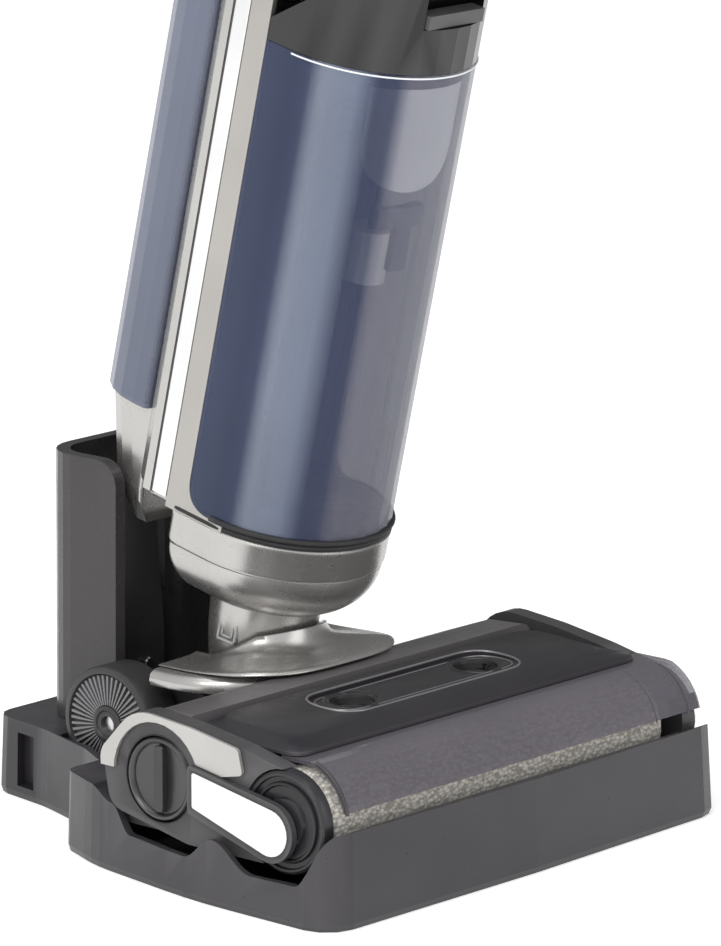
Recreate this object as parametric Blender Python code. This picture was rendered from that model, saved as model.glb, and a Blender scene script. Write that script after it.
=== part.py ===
"""Cordless wet and dry floor scrubber standing in its self-cleaning dock.

Metres, +Z up, +X to the machine's right, -Y to its front.  The origin is on the floor,
straight under the middle of the brush roller.  Pieces of the upright body are modelled
along their own axis and hang on an empty that stands at the neck hinge and leans forward.
"""
import bmesh
import bpy
from math import acos, atan2, cos, hypot, pi, radians, sin, sqrt, tan
from mathutils import Matrix, Vector

# Clearances
GAP = 0.0003              # air between pieces that touch
RUN = 0.0010              # air round pieces that move past each other
SEGMENTS = 32             # sides of a large turned piece
SMALL_SEGMENTS = 16       # sides of a small turned piece
ARC_STEPS = 5             # straight pieces in one rounded corner

# Roller and head
ROLLER_Z = 0.0449         # height of the roller's axis
ROLLER_RADIUS = 0.0240    # over the pile
PILE = 0.0035             # thickness of the microfibre sleeve
CORE_WALL = 0.0028
ROLLER_SHIFT = -0.0070    # the sleeve lies towards the pull-out end
HEAD_HALF = 0.1330        # half of the head's width over the side panels
ROLLER_HALF = HEAD_HALF - 0.0150   # half of the sleeve's length
PANEL = 0.0095            # thickness of a side panel
HUB_RADIUS = ROLLER_RADIUS + 0.0007    # flange that closes the roller's end
HEAD_FLOOR = 0.0235       # underside of the head
HEAD_TOP = 0.0700         # top of the chassis tub
WINDOW_RADIUS = ROLLER_RADIUS + 0.0050
WINDOW_REAR = 0.0115      # rear edge of the window under the cover
WINDOW_WALL = 0.0018
COVER_HALF = HEAD_HALF - 0.0105
COVER_UNDER = 0.0728      # underside of the lift-off cover
COVER_FRONT = 0.0010
COVER_REAR = 0.0700
WELL_RADIUS = 0.0105
WELL_SPACING = 0.0880
KNOB_Y = 0.0777
KNOB_Z = 0.0515
KNOB_RADIUS = 0.0197
KNOB_DEPTH = 0.0075        # pocket that the knob turns in

ARM_REACH = 0.0568        # rear end of the arm, just ahead of the knob
ARM_TOP = 0.0630
ARM_BOTTOM = 0.0400
ARM_RADIUS = 0.0142       # round end of the arm
ARM_END = (0.0062, 0.0398) # middle of that round end, low on the hub
ARM_BORDER = 0.0028       # dark margin round the arm's bright insert
ARM_DEPTH = 0.0034

# Brush drive
MOTOR_Y = 0.0740
MOTOR_Z = 0.0480
MOTOR_RADIUS = 0.0175
MOTOR_LENGTH = 0.0700
MOTOR_END = HEAD_HALF - 0.0330
PINION_RADIUS = 0.0070
PULLEY_RADIUS = 0.0160
BELT_THICK = 0.0014
SHAFT_RADIUS = 0.0030
BELT_POCKET = 0.0068      # depth of the belt's pocket in the right panel
SCRAPER_HALF = HEAD_HALF - 0.0330
SCRAPER_FRONT = ROLLER_RADIUS - 0.0004

# Wheels
WHEEL_RADIUS = 0.0282
WHEEL_WIDTH = 0.0215
WHEEL_INNER = 0.0485
WHEEL_Y = 0.1433 + WHEEL_RADIUS
WHEEL_LIFT = 0.0203       # lowest point of the wheels in the dock
WHEEL_Z = WHEEL_LIFT + WHEEL_RADIUS
STUB_RADIUS = 0.0040

# Neck hinge and body
HINGE_Y = 0.1437
HINGE_Z = 0.0520
LEAN = radians(13.0)
BARREL_RADIUS = 0.0150
BARREL_HALF = 0.0240
PIN_RADIUS = 0.0040
NECK_FOOT_RADIUS = 0.0215
NECK_RADIUS = 0.0270
TANK_RADIUS = 0.0520
TANK_WALL = 0.0022
TANK_FOOT = 0.1035        # height of the tank's foot above the hinge, along the body
TANK_LENGTH = 0.2350
TANK_BACK = 0.0270        # flat back of the tank behind its axis
ROD_RADIUS = 0.0018        # guide rod of the shut-off float
ROD_X = TANK_RADIUS - 0.0220
RISER_RADIUS = 0.0120      # bore for the suction riser
FLOAT_RADIUS = 0.6 * (ROD_X - RISER_RADIUS)
FILTER_HALF = ROD_X - 0.0055
BOWL_FOOT = 0.0500
BAND_FOOT = 0.0840
SPINE_HALF = TANK_RADIUS - 0.0060
SPINE_BACK = 0.0580
SPINE_FOOT = 0.0780
RAIL_DEPTH = 0.0090
CLEAN_HALF = 0.0420
CLEAN_BACK = 0.1040
CLEAN_FOOT = 0.1360
CLEAN_LENGTH = 0.2300
SPINE_TOP = CLEAN_FOOT + CLEAN_LENGTH + 0.0210
LID_FRONT = 0.0640        # height of the tank lid at its front
LID_SLOPE = radians(38.0)
HOUSING_TOP = 0.5900
TUBE_RADIUS = 0.0150
TUBE_TOP = 0.8900
BUTTON_RADIUS = 0.0058
DISPLAY_RADIUS = 0.0180
DISPLAY_W = 0.4620        # height of the display's middle along the body
BAY_FOOT = 0.4000         # foot of the bay for suction motor and battery
BAY_TOP = 0.5500
BAY_HALF = TANK_RADIUS - 0.0190
BAY_FRONT = TANK_RADIUS - 0.0240
MOUTH_HALF = 0.0260       # rear opening of that bay
MOUTH_TOP = 0.4800

# Dock
TRAY_HALF = HEAD_HALF + 0.0100
TRAY_FRONT = -0.0360
TRAY_BOW = 0.0025
TRAY_WALL = 0.0035
TRAY_LIP = 0.0450
TRAY_REAR = 0.1560
TRAY_FLOOR = 0.0040
BLOCK_TOP = 0.0385
BLOCK_REAR = 0.2555
BLOCK_HALF = 0.0690
WELL_FLOOR = 0.0195
COLUMN_HALF = 0.0470
COLUMN_WALL = 0.0065
COLUMN_FRONT = 0.1860
COLUMN_REAR = 0.2380
COLUMN_TOP = 0.1700
COLUMN_CORNER = 0.0120
FOOT_RADIUS = 0.0080
FOOT_DEPTH = 0.0020
SOCKET_RADIUS = 0.0034    # bore of the power inlet

# Rings of the neck boot: (half width, depth to the front, height)
BOOT_RINGS = [(0.0640, 0.0500, 0.0705), (0.0640, 0.0500, 0.0750), (0.0600, 0.0460, 0.0795),
              (0.0450, 0.0410, 0.0815), (0.0385, 0.0385, 0.0860), (0.0345, 0.0375, 0.0925)]

# Top edge of the tray's side walls: (distance behind the roller's axis, height)
SIDE_WALL = [(-0.0335, TRAY_LIP), (-0.0135, 0.0193), (0.0140, 0.0188), (0.0390, 0.0310),
             (0.0580, 0.0195), (0.0980, 0.0205), (0.1120, 0.0330), (0.1300, BLOCK_TOP)]

MATERIALS = {}


# ---------------------------------------------------------------- helpers
def material(name, colour, roughness, metallic=0.0, alpha=1.0):
    """A Principled material, made once for each name."""
    if name not in MATERIALS:
        made = bpy.data.materials.new(name)
        made.use_nodes = True
        shader = made.node_tree.nodes["Principled BSDF"]
        shader.inputs["Base Color"].default_value = (*colour, 1.0)
        shader.inputs["Roughness"].default_value = roughness
        shader.inputs["Metallic"].default_value = metallic
        shader.inputs["Alpha"].default_value = alpha
        made.diffuse_color = (*colour, alpha)
        MATERIALS[name] = made
    return MATERIALS[name]


def dark_plastic():
    return material("dark_plastic", (0.055, 0.054, 0.060), 0.32)


def grey_plastic():
    return material("grey_plastic", (0.16, 0.16, 0.17), 0.38)


def black_plastic():
    return material("black_plastic", (0.012, 0.012, 0.014), 0.30)


def silver_paint():
    return material("silver_paint", (0.56, 0.55, 0.53), 0.30, 0.75)


def bright_silver():
    return material("bright_silver", (0.80, 0.80, 0.80), 0.22, 0.80)


def smoke_clear():
    return material("smoke_clear", (0.16, 0.18, 0.26), 0.08, 0.0, 0.45)


def rubber():
    return material("rubber", (0.020, 0.020, 0.022), 0.75)


def steel():
    return material("steel", (0.60, 0.60, 0.60), 0.30, 1.0)


def rounded(corners, steps=ARC_STEPS):
    """Points round a polygon of (a, b, radius) corners; a radius of 0 keeps the corner."""
    points = []
    count = len(corners)
    for i, (a, b, radius) in enumerate(corners):
        corner = Vector((a, b))
        back = Vector(corners[i - 1][:2]) - corner
        ahead = Vector(corners[(i + 1) % count][:2]) - corner
        if radius <= 0.0:
            points.append((a, b))
            continue
        back.normalize()
        ahead.normalize()
        half = acos(max(-1.0, min(1.0, back.dot(ahead)))) / 2
        reach = radius / tan(half)
        centre = corner + (back + ahead).normalized() * (radius / sin(half))
        first = corner + back * reach - centre
        turn = pi - 2 * half
        if first.x * back.y - first.y * back.x > 0:
            turn = -turn
        for step in range(steps + 1):
            angle = atan2(first.y, first.x) + turn * step / steps
            points.append((centre.x + radius * cos(angle), centre.y + radius * sin(angle)))
    return points


def to_space(axis, a, b, along):
    """Point in space of a section point (a, b) at a distance along an axis."""
    if axis == "X":
        return (along, a, b)
    if axis == "Y":
        return (a, along, b)
    return (a, b, along)


def finish(name, bm, look, parent):
    """Turn a bmesh into a named object with its material and parent."""
    bmesh.ops.recalc_face_normals(bm, faces=bm.faces)
    mesh = bpy.data.meshes.new(name)
    bm.to_mesh(mesh)
    bm.free()
    obj = bpy.data.objects.new(name, mesh)
    bpy.context.scene.collection.objects.link(obj)
    if look is not None:
        mesh.materials.append(look)
    obj.parent = parent
    mesh.shade_smooth()
    mesh.set_sharp_from_angle(angle=radians(32))
    return obj


def loft(name, look, rings, parent=None, closed=False):
    """Skin a row of rings with equal point counts, capped or joined into a loop."""
    bm = bmesh.new()
    loops = [[bm.verts.new(point) for point in ring] for ring in rings]
    count = len(loops[0])
    pairs = list(zip(loops, loops[1:]))
    if closed:
        pairs.append((loops[-1], loops[0]))
    for low, high in pairs:
        for i in range(count):
            j = (i + 1) % count
            bm.faces.new((low[i], low[j], high[j], high[i]))
    if not closed:
        bm.faces.new(list(reversed(loops[0])))
        bm.faces.new(loops[-1])
    return finish(name, bm, look, parent)


def prism(name, look, outline, axis, low, high, parent=None):
    """Extrude a section outline along an axis."""
    rings = [[to_space(axis, a, b, at) for a, b in outline] for at in (low, high)]
    return loft(name, look, rings, parent)


def block(name, look, low, high, parent=None, round_by=0.0):
    """Box between two corners, with its upright edges rounded."""
    x0, y0, z0 = low
    x1, y1, z1 = high
    corners = [(x0, y0, round_by), (x1, y0, round_by), (x1, y1, round_by), (x0, y1, round_by)]
    return prism(name, look, rounded(corners, 3), "Z", z0, z1, parent)


def turned(name, look, profile, axis="Z", centre=(0, 0, 0), parent=None, closed=False,
           sides=SEGMENTS):
    """Turn a profile of (radius, distance along) points about an axis through centre."""
    rings = []
    for radius, along in profile:
        ring = []
        for i in range(sides):
            angle = 2 * pi * i / sides
            point = to_space(axis, radius * cos(angle), radius * sin(angle), along)
            ring.append(Vector(point) + Vector(centre))
        rings.append(ring)
    return loft(name, look, rings, parent, closed)


def tube(name, look, outer, inner, low, high, axis="Z", centre=(0, 0, 0), parent=None,
         sides=SEGMENTS):
    """Plain ring between two distances along its axis."""
    profile = [(outer, low), (outer, high), (inner, high), (inner, low)]
    return turned(name, look, profile, axis, centre, parent, True, sides)


def combine(target, others, operation):
    """Cut the others from the target, or join them to it."""
    for other in others:
        step = target.modifiers.new(other.name, "BOOLEAN")
        step.operation = operation
        step.solver = "EXACT"
        step.object = other
        other.hide_render = True
        other.display_type = "WIRE"
    return target


def cut(target, *others):
    return combine(target, others, "DIFFERENCE")


def fuse(target, *others):
    return combine(target, others, "UNION")


def soften(obj, width, segments=1):
    """Bevel the sharp edges."""
    bevel = obj.modifiers.new("soften", "BEVEL")
    bevel.width = width
    bevel.segments = segments
    bevel.limit_method = "ANGLE"
    bevel.angle_limit = radians(40)
    return obj


def pivot(obj, point):
    """Move an object's origin to a point on its joint's axis."""
    obj.data.transform(Matrix.Translation(-Vector(point)))
    obj.location = Vector(point)
    return obj


def empty(name, location, tilt=0.0, parent=None):
    """Plain reference frame for a group of pieces."""
    obj = bpy.data.objects.new(name, None)
    obj.location = location
    obj.rotation_euler.x = tilt
    obj.parent = parent
    bpy.context.scene.collection.objects.link(obj)
    return obj


def eased(points, steps=8):
    """Soft wave through (a, b) points: level at each of them."""
    wave = []
    for (a0, b0), (a1, b1) in zip(points, points[1:]):
        for step in range(steps):
            share = step / steps
            ease = (1 - cos(pi * share)) / 2
            wave.append((a0 + (a1 - a0) * share, b0 + (b1 - b0) * ease))
    wave.append(points[-1])
    return wave


# ---------------------------------------------------------------- dock
def tray_outline(inset):
    """Plan of the dock, moved inwards by inset."""
    left = [
        (0.0, TRAY_FRONT - TRAY_BOW + inset, 0.0),
        (-TRAY_HALF + inset, TRAY_FRONT + inset, 0.0160 - inset),
        (-TRAY_HALF + 0.0020 + inset, 0.0500, 0.3000),
        (-TRAY_HALF + 0.0150 + inset, 0.1250, 0.1000),
        (-TRAY_HALF + 0.0280 + inset, TRAY_REAR - inset, 0.0080 - inset),
        (-TRAY_HALF + 0.0500 + inset, TRAY_REAR - inset, 0.0),
        (-BLOCK_HALF - 0.0130 + inset, 0.1760, 0.0300),
        (-BLOCK_HALF + inset, 0.2150, 0.0800),
        (-BLOCK_HALF + 0.0070 + inset, BLOCK_REAR - inset, 0.0120 - inset),
    ]
    return rounded(left + [(-a, b, radius) for a, b, radius in reversed(left[1:])], 3)


def drafted(outline, share):
    """Outline drawn in towards the middle of the dock by a share of its size."""
    middle = (TRAY_FRONT + BLOCK_REAR) / 2
    return [(a * share, middle + (b - middle) * share) for a, b in outline]


def foot_spots():
    """Middles of the dock's four feet."""
    return [(side * across, back) for across, back in ((TRAY_HALF - 0.030, -0.012),
                                                       (BLOCK_HALF - 0.020, BLOCK_REAR - 0.020))
            for side in (-1, 1)]


def build_tray():
    outline = tray_outline(0.0)
    rings = [[(a, b, z) for a, b in drafted(outline, share)]
             for z, share in ((0.0, 0.993), (0.0030, 1.0), (TRAY_LIP, 0.988))]
    tray = loft("dock_tray", dark_plastic(), rings)
    basin_rear = 0.1230
    basin = rounded([
        (-TRAY_HALF + 0.0025 + TRAY_WALL, TRAY_FRONT + TRAY_WALL, 0.0120),
        (TRAY_HALF - 0.0025 - TRAY_WALL, TRAY_FRONT + TRAY_WALL, 0.0120),
        (TRAY_HALF - 0.0008 - TRAY_WALL, 0.0400, 0.3000),
        (TRAY_HALF - 0.0165 - TRAY_WALL, basin_rear, 0.0080),
        (-TRAY_HALF + 0.0165 + TRAY_WALL, basin_rear, 0.0080),
        (-TRAY_HALF + 0.0008 + TRAY_WALL, 0.0400, 0.3000)])
    cutters = [prism("basin_cut", None, basin, "Z", TRAY_FLOOR, TRAY_LIP + 0.01)]
    deck_half = BLOCK_HALF + 0.0075
    deck = rounded([(-deck_half - 0.0260, 0.1180, 0.004), (deck_half + 0.0260, 0.1180, 0.004),
                    (deck_half + 0.0150, 0.1500, 0.010),
                    (deck_half, WHEEL_Y + 0.004, 0.010),
                    (WHEEL_INNER + WHEEL_WIDTH + 2 * RUN, WHEEL_Y + WHEEL_RADIUS + 2 * RUN, 0.004),
                    (-WHEEL_INNER - WHEEL_WIDTH - 2 * RUN, WHEEL_Y + WHEEL_RADIUS + 2 * RUN, 0.004),
                    (-deck_half, WHEEL_Y + 0.004, 0.010),
                    (-deck_half - 0.0150, 0.1500, 0.010)], 3)
    cutters.append(prism("deck_cut", None, deck, "Z", WELL_FLOOR, TRAY_LIP + 0.01))
    above = 0.08
    wave = eased(SIDE_WALL)
    side = wave + [(TRAY_REAR - 0.010, BLOCK_TOP), (TRAY_REAR - 0.010, above), (wave[0][0], above)]
    for sign, word in ((-1, "left"), (1, "right")):
        inner = sign * (TRAY_HALF - 0.0330)
        outer = sign * (TRAY_HALF + 0.0100)
        cutters.append(prism("side_cut_" + word, None, side, "X", min(inner, outer),
                             max(inner, outer)))
    cutters.append(block("block_cut", None, (-0.2, 0.1180, BLOCK_TOP), (0.2, 0.3, above)))
    for spot, (across, back) in enumerate(foot_spots()):
        cutters.append(turned(f"foot_cut_{spot}", None,
                              [(FOOT_RADIUS + GAP, -0.001), (FOOT_RADIUS + GAP, FOOT_DEPTH + GAP)],
                              centre=(across, back, 0), sides=SMALL_SEGMENTS))
    for sign in (-1, 1):
        outer = sign * (BLOCK_HALF + 0.004)
        inner = sign * (BLOCK_HALF - 0.009)
        cutters.append(block(f"slot_cut_{sign}", None,
                             (min(outer, inner), 0.2230, 0.0060),
                             (max(outer, inner), 0.2360, BLOCK_TOP - 0.0060)))
    return cut(tray, *cutters)


def build_feet():
    for spot, (across, back) in enumerate(foot_spots()):
        turned(f"dock_foot_{spot + 1}", rubber(), [(FOOT_RADIUS, 0.0), (FOOT_RADIUS, FOOT_DEPTH)],
               centre=(across, back, 0), sides=SMALL_SEGMENTS)


def build_column():
    foot = BLOCK_TOP + GAP
    above = COLUMN_TOP + 0.0050
    spare = COLUMN_FRONT - 0.0050
    inner = COLUMN_HALF - COLUMN_WALL
    section = rounded([
        (-COLUMN_HALF, spare, 0.0), (-COLUMN_HALF, COLUMN_REAR, 0.0220),
        (COLUMN_HALF, COLUMN_REAR, 0.0220), (COLUMN_HALF, spare, 0.0),
        (inner, spare, 0.0), (inner, COLUMN_REAR - COLUMN_WALL, 0.0160),
        (-inner, COLUMN_REAR - COLUMN_WALL, 0.0160), (-inner, spare, 0.0)], 6)
    rings = [[(a * share, b, z) for a, b in section] for z, share in ((foot, 1.03), (above, 1.0))]
    column = loft("dock_column", dark_plastic(), rings)
    side = rounded([(COLUMN_FRONT, 0.0, 0.0), (COLUMN_FRONT, COLUMN_TOP, COLUMN_CORNER),
                    (COLUMN_REAR + 0.01, COLUMN_TOP, 0.0), (COLUMN_REAR + 0.01, 0.0, 0.0)], 8)
    return combine(column, [prism("column_side", None, side, "X", -0.1, 0.1)], "INTERSECT")


def build_dock_fittings():
    """Inner guide of the column, its two charging pins and the power inlet."""
    inner = COLUMN_HALF - COLUMN_WALL - RUN
    back = COLUMN_REAR - COLUMN_WALL - GAP
    foot = BLOCK_TOP + 2 * GAP
    guide = prism("dock_guide", black_plastic(),
                  [(back - 0.0030, 0.1500), (back, 0.1500), (back, foot), (back - 0.0100, foot),
                   (back - 0.0100, 0.0700)], "X", -inner + 0.016, inner - 0.016)
    pin_z = 0.0560
    for sign, word in ((-1, "left"), (1, "right")):
        at = (sign * 0.0100, back - 0.0100 - GAP, pin_z)
        turned("charge_pin_" + word, steel(), [(0.0022, -0.0028), (0.0030, -0.0022), (0.0030, 0.0)], "Y", at,
               sides=SMALL_SEGMENTS)
    socket = block("power_inlet", black_plastic(), (-0.0060, BLOCK_REAR - 0.0008, 0.0100),
                   (0.0060, BLOCK_REAR + 0.0042, 0.0220), round_by=0.002)
    bore = turned("inlet_cut", None, [(SOCKET_RADIUS, -0.001), (SOCKET_RADIUS, 0.0070)], "Y",
                  (0, BLOCK_REAR, 0.0160), sides=SMALL_SEGMENTS)
    cut(socket, bore)
    pocket = block("inlet_pocket_cut", None, (-0.0063, BLOCK_REAR - 0.0012, 0.0097),
                   (0.0063, BLOCK_REAR + 0.01, 0.0223))
    cut(bpy.data.objects["dock_tray"], pocket)
    return guide


# ---------------------------------------------------------------- head
def build_chassis(head):
    """Tub with the roller chamber, the motor bay and the tail that carries wheels and hinge."""
    half = HEAD_HALF - PANEL - GAP
    section = rounded([(0.0120, HEAD_FLOOR, 0.0), (0.1120, HEAD_FLOOR, 0.010),
                       (0.1180, 0.0500, 0.006), (0.1100, 0.0640, 0.004),
                       (0.0660, HEAD_TOP, 0.0), (0.0140, HEAD_TOP - 0.0020, 0.0)])
    chassis = prism("head_chassis", grey_plastic(), section, "X", -half, half, head)
    tail_back = COLUMN_FRONT - 0.0025
    tail = prism("tail_part", None,
                 rounded([(0.1000, 0.0300, 0.0), (tail_back - 0.006, 0.0330, 0.010),
                          (tail_back, 0.0550, 0.010), (HINGE_Y + 0.010, 0.0700, 0.012),
                          (0.1000, 0.0600, 0.0)]),
                 "X", -WHEEL_INNER + 2 * RUN, WHEEL_INNER - 2 * RUN, head)
    fuse(chassis, tail)
    chamber = turned("chamber_cut", None, [(ROLLER_RADIUS + 0.0020, -0.2), (ROLLER_RADIUS + 0.0020, 0.2)],
                     "X", (0, 0, ROLLER_Z), head)
    bay = block("bay_cut", None, (-half + 0.0030, 0.0400, HEAD_FLOOR + 0.0030),
                (half - 0.0030, 0.1060, 0.1), head, 0.004)
    slot = block("slot_cut", None, (-BARREL_HALF - 3 * RUN, HINGE_Y - NECK_RADIUS - 2 * RUN, 0.0),
                 (BARREL_HALF + 3 * RUN, 0.25, 0.1), head)
    pin = turned("pin_cut", None, [(PIN_RADIUS + GAP / 3, -0.0400), (PIN_RADIUS + GAP / 3, 0.0400)],
                 "X", (0, HINGE_Y, HINGE_Z), head, sides=SMALL_SEGMENTS)
    axle = turned("axle_cut", None, [(STUB_RADIUS + GAP, -0.1), (STUB_RADIUS + GAP, 0.1)],
                  "X", (0, WHEEL_Y, WHEEL_Z), head, sides=SMALL_SEGMENTS)
    shaft = turned("shaft_cut", None, [(SHAFT_RADIUS + GAP, MOTOR_END), (SHAFT_RADIUS + GAP, 0.2)], "X",
                   (0, MOTOR_Y, MOTOR_Z), head, sides=SMALL_SEGMENTS)
    seat = prism("scraper_cut", None, scraper_outline(GAP), "X", -SCRAPER_HALF - GAP,
                 SCRAPER_HALF + GAP, head)
    return cut(chassis, chamber, bay, slot, pin, axle, shaft, seat)


def panel_outline(inset=0.0):
    """Side view of the head's ends."""
    return rounded([(-0.0080 + inset, 0.0680 - inset, 0.006),
                    (0.0270, 0.0755 - inset, 0.060), (0.0560, 0.0800 - inset, 0.060),
                    (0.0920 - inset, 0.0835 - inset, 0.022), (0.1140 - inset, 0.0600, 0.014),
                    (0.1090 - inset, HEAD_FLOOR + 0.010 + inset, 0.010),
                    (0.0600, HEAD_FLOOR + inset, 0.020), (-0.0040 + inset, HEAD_FLOOR + inset, 0.003)])


def build_left_panel(head):
    """Left end: open for the roller's end cap, with a pocket for the knob."""
    panel = prism("side_panel_left", grey_plastic(), panel_outline(), "X", -HEAD_HALF,
                  -HEAD_HALF + PANEL, head)
    bore = turned("panel_bore_left", None, [(HUB_RADIUS + GAP, -0.2), (HUB_RADIUS + GAP, 0.0)], "X",
                  (0, 0, ROLLER_Z), head)
    pocket = turned("knob_cut", None, [(KNOB_RADIUS + RUN, -HEAD_HALF - 0.01),
                                       (KNOB_RADIUS + RUN, -HEAD_HALF + KNOB_DEPTH)], "X",
                    (0, KNOB_Y, KNOB_Z), head)
    return cut(panel, bore, pocket)


def build_right_panel(head):
    """Drive end: a plate with a round nose under the window and a pocket for the belt."""
    inner = HEAD_HALF - PANEL
    panel = prism("side_panel_right", grey_plastic(), panel_outline(), "X", inner, HEAD_HALF, head)
    front = block("panel_front_cut", None, (MOTOR_END, -0.1, 0.0), (0.2, 0.0130, 0.2), head)
    nose = turned("panel_nose", None, [(HUB_RADIUS, inner), (HUB_RADIUS, HEAD_HALF)], "X",
                  (0, 0, ROLLER_Z), head)
    cut(panel, front)
    fuse(panel, nose)
    pocket = prism("belt_pocket_cut", None, belt_outline(BELT_THICK + RUN), "X", HEAD_HALF - BELT_POCKET,
                   0.2, head)
    bore = turned("panel_bore_right", None,
                  [(SHAFT_RADIUS + 2 * GAP, MOTOR_END), (SHAFT_RADIUS + 2 * GAP, 0.2)], "X",
                  (0, 0, ROLLER_Z), head, sides=SMALL_SEGMENTS)
    shaft = turned("panel_shaft_cut", None, [(SHAFT_RADIUS + GAP, MOTOR_END), (SHAFT_RADIUS + GAP, 0.2)], "X",
                   (0, MOTOR_Y, MOTOR_Z), head, sides=SMALL_SEGMENTS)
    return cut(panel, pocket, bore, shaft)


def belt_outline(grow, steps=14):
    """Line round the two drive pulleys, moved outwards by grow."""
    big, small = PULLEY_RADIUS + grow, PINION_RADIUS + grow
    rise = MOTOR_Z - ROLLER_Z
    span = hypot(MOTOR_Y, rise)
    tilt = atan2(rise, MOTOR_Y)
    open_by = acos((big - small) / span)
    points = []
    for y, z, radius, start, stop in ((0, ROLLER_Z, big, open_by, 2 * pi - open_by),
                                      (MOTOR_Y, MOTOR_Z, small, -open_by, open_by)):
        for i in range(steps + 1):
            angle = tilt + start + (stop - start) * i / steps
            points.append((y + radius * cos(angle), z + radius * sin(angle)))
    return points


def build_side_plate(head):
    """Bright plate that follows the top of the left panel and wraps the knob."""
    face = -HEAD_HALF - GAP
    outline = rounded([(0.0240, 0.0630, 0.002), (0.0270, 0.0750, 0.003), (0.0560, 0.0798, 0.060),
                       (0.0920, 0.0832, 0.022), (0.1135, 0.0600, 0.010), (0.1130, 0.0530, 0.0),
                       (0.0700, 0.0530, 0.0)])
    plate = prism("side_plate", bright_silver(), outline, "X", face - 0.0018, face, head)
    ring = turned("plate_cut", None, [(KNOB_RADIUS + 0.0075, -0.2), (KNOB_RADIUS + 0.0075, 0.0)], "X",
                  (0, KNOB_Y, KNOB_Z), head)
    room = 2 * GAP
    arm = prism("plate_arm_cut", None,
                lever_outline(ARM_REACH + room, ARM_TOP + room, ARM_BOTTOM, ARM_RADIUS + room, 0.002),
                "X", -0.2, 0.0, head)
    hub = turned("plate_hub_cut", None, [(HUB_RADIUS + GAP, -0.2), (HUB_RADIUS + GAP, 0.0)], "X",
                 (0, 0, ROLLER_Z), head)
    return cut(plate, ring, arm, hub)


def build_knob(head):
    """Quarter-turn lock with a raised grip bar."""
    back = -HEAD_HALF + KNOB_DEPTH - GAP
    centre = (0, KNOB_Y, KNOB_Z)
    knob = turned("roller_lock_knob", grey_plastic(),
                  [(KNOB_RADIUS, back), (KNOB_RADIUS, -HEAD_HALF),
                   (KNOB_RADIUS - 0.0015, -HEAD_HALF - 0.0008), (KNOB_RADIUS - 0.0028, -HEAD_HALF),
                   (KNOB_RADIUS - 0.0036, back - 0.0040)], "X", centre, head)
    bar = block("knob_bar", None, (-HEAD_HALF - 0.0010, KNOB_Y - 0.0030, KNOB_Z - KNOB_RADIUS + 0.0030),
                (back - 0.0020, KNOB_Y + 0.0030, KNOB_Z + KNOB_RADIUS - 0.0030), head)
    fuse(knob, bar)
    return pivot_group([knob, bar], (-HEAD_HALF, KNOB_Y, KNOB_Z))


def pivot_group(objects, point):
    """Same new origin for a piece and the shapes joined to it."""
    for obj in objects:
        pivot(obj, point)
    return objects[0]


def build_roller(head):
    """Pull-out end with its arm, the roller's core and its sleeve."""
    centre = (0, 0, ROLLER_Z)
    low = ROLLER_SHIFT - ROLLER_HALF
    high = ROLLER_SHIFT + ROLLER_HALF
    core_radius = ROLLER_RADIUS - PILE - GAP
    bore = core_radius - CORE_WALL
    face = -HEAD_HALF - GAP
    hub = turned("roller_end_cap", black_plastic(),
                 [(bore - GAP, low + 0.0080), (bore - GAP, low - 0.0020),
                  (HUB_RADIUS, low - 0.0020), (HUB_RADIUS, face + 0.0015),
                  (HUB_RADIUS - 0.0030, face), (HUB_RADIUS - 0.0060, face + 0.0010),
                  (HUB_RADIUS - 0.0066, face)], "X", centre, head)
    arm = prism("roller_arm", grey_plastic(),
                lever_outline(ARM_REACH, ARM_TOP, ARM_BOTTOM, ARM_RADIUS, 0.0020), "X",
                face - GAP - ARM_DEPTH, face - GAP, head)
    seat_depth = ARM_DEPTH / 2
    seat = prism("inlay_cut", None, inlay_outline(0.0), "X", -0.2, face - GAP - seat_depth, head)
    cut(arm, seat)
    prism("arm_inlay", bright_silver(), inlay_outline(GAP), "X", face - GAP - ARM_DEPTH - 0.0002,
          face - 2 * GAP - seat_depth, head)
    pivot(tube("roller_core", grey_plastic(), core_radius, bore, low - 0.0010, high + 0.0010, "X",
               centre, head), centre)
    pivot(tube("roller_sleeve", material("microfibre", (0.52, 0.49, 0.45), 0.95), ROLLER_RADIUS,
               core_radius + GAP, low, high, "X", centre, head), centre)
    return hub


def lever_outline(reach, top, bottom, radius, corner, steps=14):
    """Bar from two corners at one end, drawn tangent to the round end low on the hub."""
    end_y, end_z = ARM_END
    ends = []
    for height, side in ((top, 1), (bottom, -1)):
        rise = height - end_z
        run = reach - end_y
        ends.append(atan2(rise, run) + side * acos(radius / hypot(run, rise)))
    start, stop = ends[0], ends[1] + 2 * pi
    bend = [(end_y + radius * cos(start + (stop - start) * i / steps),
             end_z + radius * sin(start + (stop - start) * i / steps), 0.0) for i in range(steps + 1)]
    return rounded([(reach, top, corner)] + bend + [(reach, bottom, corner)], 3)


def inlay_outline(inset):
    """Bright insert of the arm, inside its dark margin."""
    return lever_outline(ARM_REACH - ARM_BORDER - inset, ARM_TOP - ARM_BORDER - inset,
                         ARM_BOTTOM + ARM_BORDER + inset, ARM_RADIUS - ARM_BORDER - inset, 0.0012)


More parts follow.
